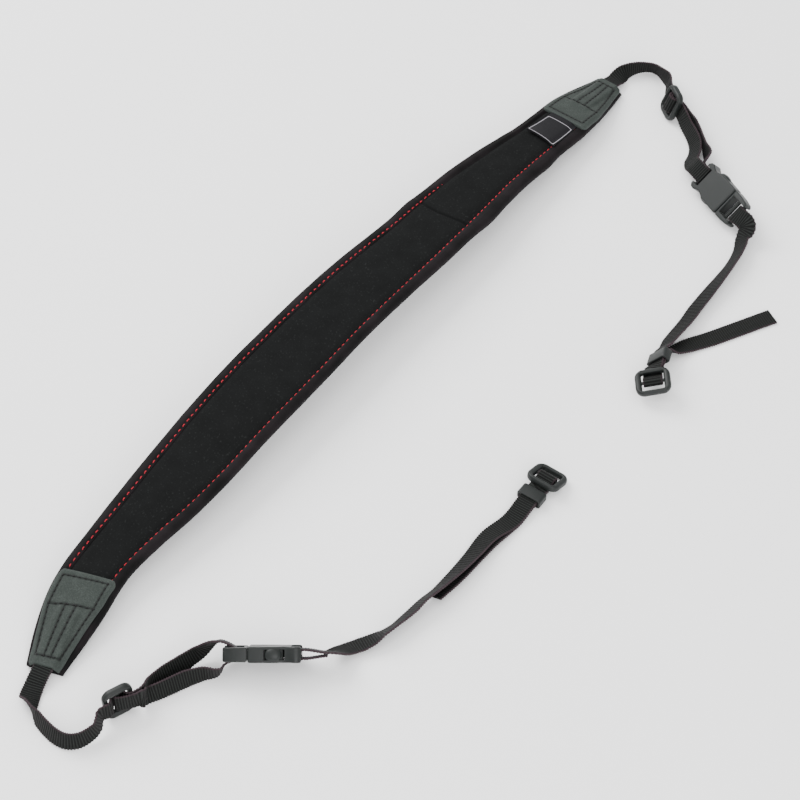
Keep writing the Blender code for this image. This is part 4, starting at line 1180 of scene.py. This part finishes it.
def web_section():
    """Rounded section of the web as shares of its half width and half thickness."""
    upper = [(v, 1.0) for v in (0.94, 0.78, 0.5, 0.2, -0.2, -0.5, -0.78, -0.94)]
    upper += [(-0.985, 0.66), (-1.0, 0.0), (-0.985, -0.66)]
    return upper + [(-v, -h) for v, h in upper]


def make_web(node, look, materials):
    """A woven web along a CAD web, with ribs across it and scalloped selvedges."""
    curve = web_curve(web_rings(node), look.rib_pitch / RIB_STEPS)
    section = web_section()
    rings, runs, acrosses = [], [], []
    run = 0.0
    for i, (place, width) in enumerate(curve):
        before = curve[max(i - 1, 0)][0]
        after = curve[min(i + 1, len(curve) - 1)][0]
        if i:
            run += (place - before).length
        along = tangent(before, place, after)
        across = (width - along * width.dot(along)).normalized()
        face = along.cross(across)
        rib = abs(math.sin(math.pi * run / look.rib_pitch))
        half = WEB_WIDTH / 2 * (1 - SELVEDGE_SCALLOP + SELVEDGE_SCALLOP * rib)
        thin = WEB_THICK / 2 * WEB_PRESSED
        rings.append([place + across * (half * v) + face * (thin * h)
                      for v, h in section])
        runs.append([run] * len(section))
        acrosses.append([v for v, _ in section])
    bm = bmesh.new()
    loft(bm, rings, layers={"run": runs, "across": acrosses})
    web = finish_piece(node.replace("web", "webbing"), bm, materials["webbing"],
                       CLOTH_SHARP)
    run_tree(web, materials["ribs"], {"Pitch": look.rib_pitch, "Depth": look.rib_depth,
                                      "Webbing": materials["webbing"]})
    settle(web, node)


# Moulded hardware


def resting_height(roll, width, thick):
    """Height of the middle of a flat piece that rests on its edge at a roll."""
    turn = math.radians(roll)
    return GAP + abs(math.sin(turn)) * width / 2 + abs(math.cos(turn)) * thick / 2


def pose(place, height, end, pitch=0.0):
    """Matrix of a piece of hardware in the strap's frame."""
    out, drop, heading, roll = place
    matrix = (Matrix.Translation((TIP + out, -drop, height))
              @ Matrix.Rotation(math.radians(heading), 4, "Z")
              @ Matrix.Rotation(-pitch, 4, "Y")
              @ Matrix.Rotation(math.radians(roll), 4, "X"))
    matrix = matrix if end > 0 else MIRROR_X @ matrix @ MIRROR_Y
    return Matrix.Translation(SHIFT) @ matrix


def tail_glide(where):
    """Pose of a tail's tri-glide, which leans on the layers under its near bar."""
    place = PLACES[where]["triglide"]
    near_rise, far_rise = TAIL_GLIDE_RISE[where]
    pitch = math.asin((near_rise - far_rise) / (GLIDE_BAR_PITCH + GLIDE_LENGTH / 2))
    tilt = math.sin(math.radians(place[3])) * (GLIDE_WIDTH - GLIDE_RAIL) / 2
    height = (GAP + GLIDE_THICK / 2 + tilt + far_rise
              + math.sin(pitch) * GLIDE_LENGTH / 2)
    return pose(place, height, ENDS[where], -pitch)


def rounded_rectangle(a, b, radius, steps):
    """Points round a rectangle with half sides a and b and round corners."""
    radius = min(radius, a, b)
    points = []
    for sx, sy, start in ((1, 1, 0), (-1, 1, 90), (-1, -1, 180), (1, -1, 270)):
        for k in range(steps + 1):
            angle = math.radians(start + 90 * k / steps)
            out = Vector((math.cos(angle), math.sin(angle)))
            points.append(Vector((sx * (a - radius), sy * (b - radius))) + out * radius)
    return points


def moulded_frame(bm, outer, inner, thick, edge, belly=0.0):
    """A closed moulded frame between an outer and an inner outline, edges rounded."""
    rings = []
    for a, b in zip(outer, inner):
        wall = (a - b).length
        out = (a - b).normalized()
        soft = min(edge, wall * EDGE_LIMIT, thick * EDGE_LIMIT)
        profile = []
        for su, sz, start in ((1, 1, 0), (0, 1, 90), (0, 0, 180), (1, 0, 270)):
            for k in range(5):
                angle = math.radians(start + 90 * k / 4)
                u = (wall - soft if su else soft) + soft * math.cos(angle)
                z = thick / 2 - soft if sz else soft - thick / 2
                swell = 1 + belly * (1 - (2 * u / wall - 1) ** 2)
                profile.append((u, (z + soft * math.sin(angle)) * swell))
        rings.append([(*(b + out * u), z) for u, z in profile])
    rings.append(rings[0])
    loft(bm, rings, caps=False)


def round_bar(bm, radius, length, flare):
    """A round bar along Y that flares where it meets its frame."""
    rings = []
    for k in range(17):
        t = lerp(-1, 1, k / 16)
        r = radius + flare * ease_from((BAR_FLARE_START, 1 - BAR_FLARE_START), abs(t))
        rings.append([(x, t * length / 2, z) for x, z in circle(r, 20)])
    loft(bm, rings)


def make_triglide(name, matrix, materials):
    """A moulded rectangular frame with round corners and a bar across its middle."""
    bm = bmesh.new()
    outer = rounded_rectangle(GLIDE_LENGTH / 2, GLIDE_WIDTH / 2, GLIDE_CORNER, 10)
    window = (GLIDE_LENGTH / 2 - GLIDE_END_BAR, GLIDE_WINDOW / 2)
    inner = rounded_rectangle(*window, GLIDE_WINDOW_CORNER, 10)
    moulded_frame(bm, outer, inner, GLIDE_THICK, GLIDE_EDGE, GLIDE_BELLY)
    round_bar(bm, GLIDE_BAR_RADIUS, GLIDE_WINDOW + GLIDE_RAIL, GLIDE_BAR_FLARE)
    bm.transform(matrix)
    glide = finish_piece(f"moulded_{name}", bm, materials["plastic"], TRIM_SHARP)
    settle(glide, name)


def make_keeper(name, matrix, materials):
    """A moulded loop that both layers of a tail pass through."""
    bm = bmesh.new()
    outer = rounded_rectangle(KEEPER_WIDTH / 2, KEEPER_HEIGHT / 2, KEEPER_CORNERS[0], 8)
    inner = rounded_rectangle(KEEPER_WIDTH / 2 - KEEPER_WALL,
                              KEEPER_HEIGHT / 2 - KEEPER_WALL, KEEPER_CORNERS[1], 8)
    moulded_frame(bm, outer, inner, KEEPER_LENGTH, KEEPER_EDGE)
    bm.transform(Matrix(((0, 0, 1, 0), (1, 0, 0, 0), (0, 1, 0, 0), (0, 0, 0, 1))))
    bm.transform(matrix)
    keeper = finish_piece(f"moulded_{name}", bm, materials["plastic"], TRIM_SHARP)
    settle(keeper, name)


def make_buckle_half(node, materials):
    """A buckle half with the CAD part's own shape, its moulded radii shaded smooth."""
    bm = merged_copy(node)
    bmesh.ops.dissolve_limit(bm, angle_limit=math.radians(0.5), verts=bm.verts,
                             edges=bm.edges)
    half = finish_piece(f"moulded_{node}", bm, materials["plastic"], BUCKLE_SHARP)
    soft = half.modifiers.new("mould_radius", "BEVEL")
    soft.width = BUCKLE_EDGE
    soft.segments = 2
    soft.limit_method = "ANGLE"
    soft.angle_limit = math.radians(BUCKLE_SHARP)
    even = half.modifiers.new("even_faces", "WEIGHTED_NORMAL")
    even.keep_sharp = True
    make_plain(half)
    settle(half, node)


def make_buttons(where, materials):
    """The oval release buttons that fill the windows in a buckle's two sides."""
    place = PLACES[where]["buckle"]
    height = resting_height(place[3], BUCKLE_WIDTH, BUCKLE_THICK)
    matrix = pose(place, height, ENDS[where])
    # The socket half is on the pad's side at the far end, and on the tail's at the near
    half = (FEMALE_LENGTH + MALE_LENGTH) / 2
    if ENDS[where] > 0:
        matrix = matrix @ Matrix.Translation((FEMALE_LENGTH - half, 0, 0))
    else:
        matrix = (matrix @ Matrix.Translation((MALE_LENGTH - half, 0, 0))
                  @ Matrix.Rotation(math.pi, 4, "Z"))
    for side, name in ((1, "left"), (-1, "right")):
        bm = bmesh.new()
        bmesh.ops.create_uvsphere(bm, u_segments=32, v_segments=18, radius=1)
        for vert in bm.verts:
            vert.co = Vector((round_off(vert.co.x), vert.co.y, round_off(vert.co.z)))
            vert.co = Vector((BUTTON_PLACE + vert.co.x * BUTTON_SIZE[0],
                              side * (BUTTON_DEPTH + vert.co.y * BUTTON_SIZE[1]),
                              vert.co.z * BUTTON_SIZE[2]))
        bm.transform(matrix)
        button = finish_piece(f"release_button_{name}_{where}", bm,
                              materials["plastic"], BUTTON_SHARP)
        settle(button)


def round_off(x):
    """A share of a ball's radius, pushed out a little towards a box."""
    return math.copysign(abs(x) ** BUTTON_ROUNDNESS, x)


# Stage


def make_floor(stage):
    """Seamless studio paper: a plain, matt, almost white floor."""
    bm = bmesh.new()
    half = stage.floor_size / 2
    bm.faces.new([bm.verts.new((x * half, y * half, 0))
                  for x, y in ((-1, -1), (1, -1), (1, 1), (-1, 1))])
    paper, _, shader = new_material("seamless_paper", Roughness=0.95,
                                    Specular_IOR_Level=0.1)
    shader.inputs["Base Color"].default_value = stage.floor_colour
    floor = finish_piece("studio_floor", bm, paper)


def make_lights(stage):
    """Soft area lights that face the strap, and even light from all sides."""
    scene = bpy.context.scene
    for name, (size, place) in LIGHTS.items():
        lamp = bpy.data.lights.new(f"{name}_light", "AREA")
        lamp.energy, lamp.size = getattr(stage, f"{name}_power"), size
        item = bpy.data.objects.new(f"{name}_light", lamp)
        item.location = place
        item.rotation_mode = "QUATERNION"
        item.rotation_quaternion = (-Vector(place)).to_track_quat("-Z", "Y")
        scene.collection.objects.link(item)
    world = bpy.data.worlds.new("studio_sky")
    world.use_nodes = True
    sky = world.node_tree.nodes["Background"]
    sky.inputs["Color"].default_value = linear(SKY_COLOUR)
    sky.inputs["Strength"].default_value = stage.sky
    scene.world = world


def make_camera(stage):
    """A camera where the photograph was taken from."""
    scene = bpy.context.scene
    data = bpy.data.cameras.new("photo_camera")
    data.lens, data.sensor_width = stage.lens, FILM_WIDTH
    data.clip_start, data.clip_end = CAMERA_REACH
    camera = bpy.data.objects.new("photo_camera", data)
    forward = Vector(CAMERA_AIM).normalized()
    side = forward.cross(UP).normalized()
    turn = Matrix((side, side.cross(forward), -forward)).transposed().to_4x4()
    camera.matrix_world = Matrix.Translation(Vector(CAMERA_PLACE) + SHIFT) @ turn
    scene.collection.objects.link(camera)
    scene.camera = camera


# Settings


def length_setting(name, description, default, low):
    """A length that a user would change."""
    return bpy.props.FloatProperty(name=name, description=description, default=default,
                                   min=low, unit="LENGTH")


def colour_setting(name, description, hex_colour):
    """A colour that a user would change, from an sRGB hex value."""
    return bpy.props.FloatVectorProperty(
        name=name, description=description, default=linear(hex_colour), size=4, min=0.0,
        max=1.0, subtype="COLOR")


def power_setting(name, description, default):
    """The power of a light."""
    return bpy.props.FloatProperty(name=name, description=description, default=default,
                                   min=0.0, subtype="POWER", unit="POWER")


class StrapLook(bpy.types.PropertyGroup):
    """Sizes and colours of the strap that a user would change."""

    stitch_pitch: length_setting(
        "Edge Stitch Pitch", "Distance between the red edge stitches", 0.00365, 0.001)
    patch_pitch: length_setting(
        "Patch Stitch Pitch", "Distance between the patches' stitches", 0.0029, 0.001)
    rib_pitch: length_setting(
        "Rib Pitch", "Distance between the webbing's cross ribs", 0.0013, 0.0006)
    rib_depth: length_setting(
        "Rib Depth", "Height of the webbing's cross ribs", 0.0003, 0.0)
    pad_face: colour_setting(
        "Pad Face", "Lighter colour of the pad's fabric", "#0f1010")
    pad_shade: colour_setting(
        "Pad Shade", "Darker colour of the pad's fabric", "#0a0b0b")
    # Lighter colour of the binding, with a mauve tint that is painted sheen
    binding_tone_and_painted_sheen: colour_setting(
        "Binding Face", "Lighter colour of the edge binding", "#161214")
    binding_shade: colour_setting(
        "Binding Shade", "Darker colour of the edge binding", "#070707")
    patch_face: colour_setting(
        "Patch Face", "Main colour of the leather patches", "#2c312e")
    patch_shade: colour_setting(
        "Patch Shade", "Darker colour of the leather's grain", "#252a28")
    patch_rim: colour_setting(
        "Patch Rim", "Colour of the leather's rubbed rim", "#3a403d")
    web_face: colour_setting("Web Face", "Main colour of the webbing", "#0b0c0b")
    # Painted shade in the hollows between the webbing's ribs
    web_shade: colour_setting(
        "Web Shade", "Colour between the webbing's ribs", "#010101")
    # Painted highlight on the crests of the webbing's ribs
    web_rib: colour_setting("Web Rib", "Colour on the webbing's ribs", "#1f2220")
    # Painted mauve sheen on the webbing's selvedges
    web_edge: colour_setting(
        "Web Edge", "Colour of the webbing's selvedges", "#32282c")
    plastic_face: colour_setting(
        "Plastic Face", "Lighter colour of the moulded parts", "#1a1d1c")
    plastic_shade: colour_setting(
        "Plastic Shade", "Darker colour of the moulded parts", "#151817")
    label_line: colour_setting(
        "Label Line", "Colour of the label's border thread", "#9a979c")
    thread_colour: colour_setting(
        "Edge Thread", "Colour of the edge stitches", "#b31a27")


class StrapStage(bpy.types.PropertyGroup):
    """Floor, light and camera round the strap."""

    floor_size: length_setting("Floor Size", "Side of the plain floor", 8.0, 1.0)
    floor_colour: colour_setting("Floor Colour", "Colour of the plain floor", "#fafafa")
    key_power: power_setting("Key Light", "Power of the soft main light", 37.0)
    fill_power: power_setting("Fill Light", "Power of the broad overhead light", 22.0)
    front_power: power_setting(
        "Front Light", "Power of the soft light beside the camera", 17.0)
    sky: bpy.props.FloatProperty(
        name="Sky", description="Strength of the even light from all sides", default=1.25,
        min=0.0)
    lens: bpy.props.FloatProperty(
        name="Focal Length", description="Camera lens in mm", default=108.0, min=10.0)


# Materials and trees that the operators share, made once by the first that needs them
WORKSHOP = {}


def workshop(look):
    """The materials and node trees of the strap, made once."""
    if not WORKSHOP:
        WORKSHOP.update(
            fabric=brushed_stretch_fabric(look),
            binding=knitted_binding_tape(look),
            leather=suede_leather(look),
            red_thread=polyester_thread("red_polyester_thread", look.thread_colour,
                                        linear("#7d1f2a")),
            black_thread=polyester_thread("black_polyester_thread", linear("#0b0b0b"),
                                          linear("#040404")),
            webbing=woven_webbing(look),
            plastic=moulded_acetal(look),
            label=woven_label_tape(look),
            stitches=stitch_tree(),
            ribs=rib_tree(),
        )
    return WORKSHOP


class STRAP_OT_neck_pad(bpy.types.Operator):
    """Build the padded panel, its bindings and the red edge stitches"""

    bl_idname = "strap.neck_pad"
    bl_label = "Neck Pad"

    def execute(self, context):
        """Build the pad."""
        look = context.scene.strap_look
        make_pad(look, workshop(look))
        return {"FINISHED"}


class STRAP_OT_end_patches(bpy.types.Operator):
    """Build the stitched leather patches at both ends of the pad"""

    bl_idname = "strap.end_patches"
    bl_label = "End Patches"

    def execute(self, context):
        """Build both patches."""
        look = context.scene.strap_look
        for where in ENDS:
            make_patch(where, workshop(look), look)
        return {"FINISHED"}


class STRAP_OT_label_tab(bpy.types.Operator):
    """Build the bare label tab"""

    bl_idname = "strap.label_tab"
    bl_label = "Label Tab"

    def execute(self, context):
        """Build the label tab."""
        make_label(workshop(context.scene.strap_look))
        return {"FINISHED"}


class STRAP_OT_webbing(bpy.types.Operator):
    """Weave the four webs along the CAD webs"""

    bl_idname = "strap.webbing"
    bl_label = "Webbing"

    def execute(self, context):
        """Weave the webs."""
        look = context.scene.strap_look
        for where in ENDS:
            for kind in ("lead", "tail"):
                make_web(f"{kind}_web_{where}", look, workshop(look))
        return {"FINISHED"}


class STRAP_OT_slides_and_keepers(bpy.types.Operator):
    """Mould the sliders, tri-glides and keepers"""

    bl_idname = "strap.slides_and_keepers"
    bl_label = "Slides and Keepers"

    def execute(self, context):
        """Mould the small hardware."""
        materials = workshop(context.scene.strap_look)
        for where, end in ENDS.items():
            places = PLACES[where]
            height = resting_height(places["slider"][3], GLIDE_WIDTH, GLIDE_THICK)
            slider = pose(places["slider"], height, end)
            make_triglide(f"slider_{where}", slider, materials)
            make_triglide(f"triglide_{where}", tail_glide(where), materials)
            height = resting_height(places["keeper"][3], KEEPER_WIDTH, KEEPER_HEIGHT)
            make_keeper(f"keeper_{where}", pose(places["keeper"], height, end), materials)
        return {"FINISHED"}


class STRAP_OT_buckles(bpy.types.Operator):
    """Dress the two side-release buckles"""

    bl_idname = "strap.buckles"
    bl_label = "Buckles"

    def execute(self, context):
        """Dress the four buckle halves."""
        materials = workshop(context.scene.strap_look)
        for where in ENDS:
            for half in ("female", "male"):
                make_buckle_half(f"buckle_{half}_{where}", materials)
            make_buttons(where, materials)
        return {"FINISHED"}


class STRAP_OT_stage(bpy.types.Operator):
    """Set the plain floor, the soft studio light and the photograph's camera"""

    bl_idname = "strap.stage"
    bl_label = "Stage"

    def execute(self, context):
        """Build the stage."""
        stage = context.scene.strap_stage
        make_floor(stage)
        make_lights(stage)
        make_camera(stage)
        return {"FINISHED"}


class STRAP_PT_sidebar(bpy.types.Panel):
    """Sidebar panel with the strap's settings and build steps"""

    bl_idname = "STRAP_PT_sidebar"
    bl_label = "Neck Strap"
    bl_space_type = "VIEW_3D"
    bl_region_type = "UI"
    bl_category = "Neck Strap"

    def draw(self, context):
        """List the settings and the operators."""
        column = self.layout.column()
        for group in (context.scene.strap_look, context.scene.strap_stage):
            for name in group.__annotations__:
                column.prop(group, name)
        for step in STEPS:
            column.operator(step.bl_idname)


STEPS = (STRAP_OT_neck_pad, STRAP_OT_end_patches, STRAP_OT_label_tab, STRAP_OT_webbing,
         STRAP_OT_slides_and_keepers, STRAP_OT_buckles, STRAP_OT_stage)
CLASSES = (StrapLook, StrapStage, *STEPS, STRAP_PT_sidebar)


def register():
    """Register the classes and hang the settings on the scene."""
    for cls in CLASSES:
        bpy.utils.register_class(cls)
    bpy.types.Scene.strap_look = bpy.props.PointerProperty(type=StrapLook)
    bpy.types.Scene.strap_stage = bpy.props.PointerProperty(type=StrapStage)


def unregister():
    """Take the settings and classes away again."""
    del bpy.types.Scene.strap_stage
    del bpy.types.Scene.strap_look
    for cls in reversed(CLASSES):
        bpy.utils.unregister_class(cls)


def main():
    """Build every piece and the stage."""
    register()
    for step in STEPS:
        group, name = step.bl_idname.split(".")
        if getattr(getattr(bpy.ops, group), name)() != {"FINISHED"}:
            raise RuntimeError(f"{step.bl_label} did not finish")


if __name__ == "__main__":
    main()
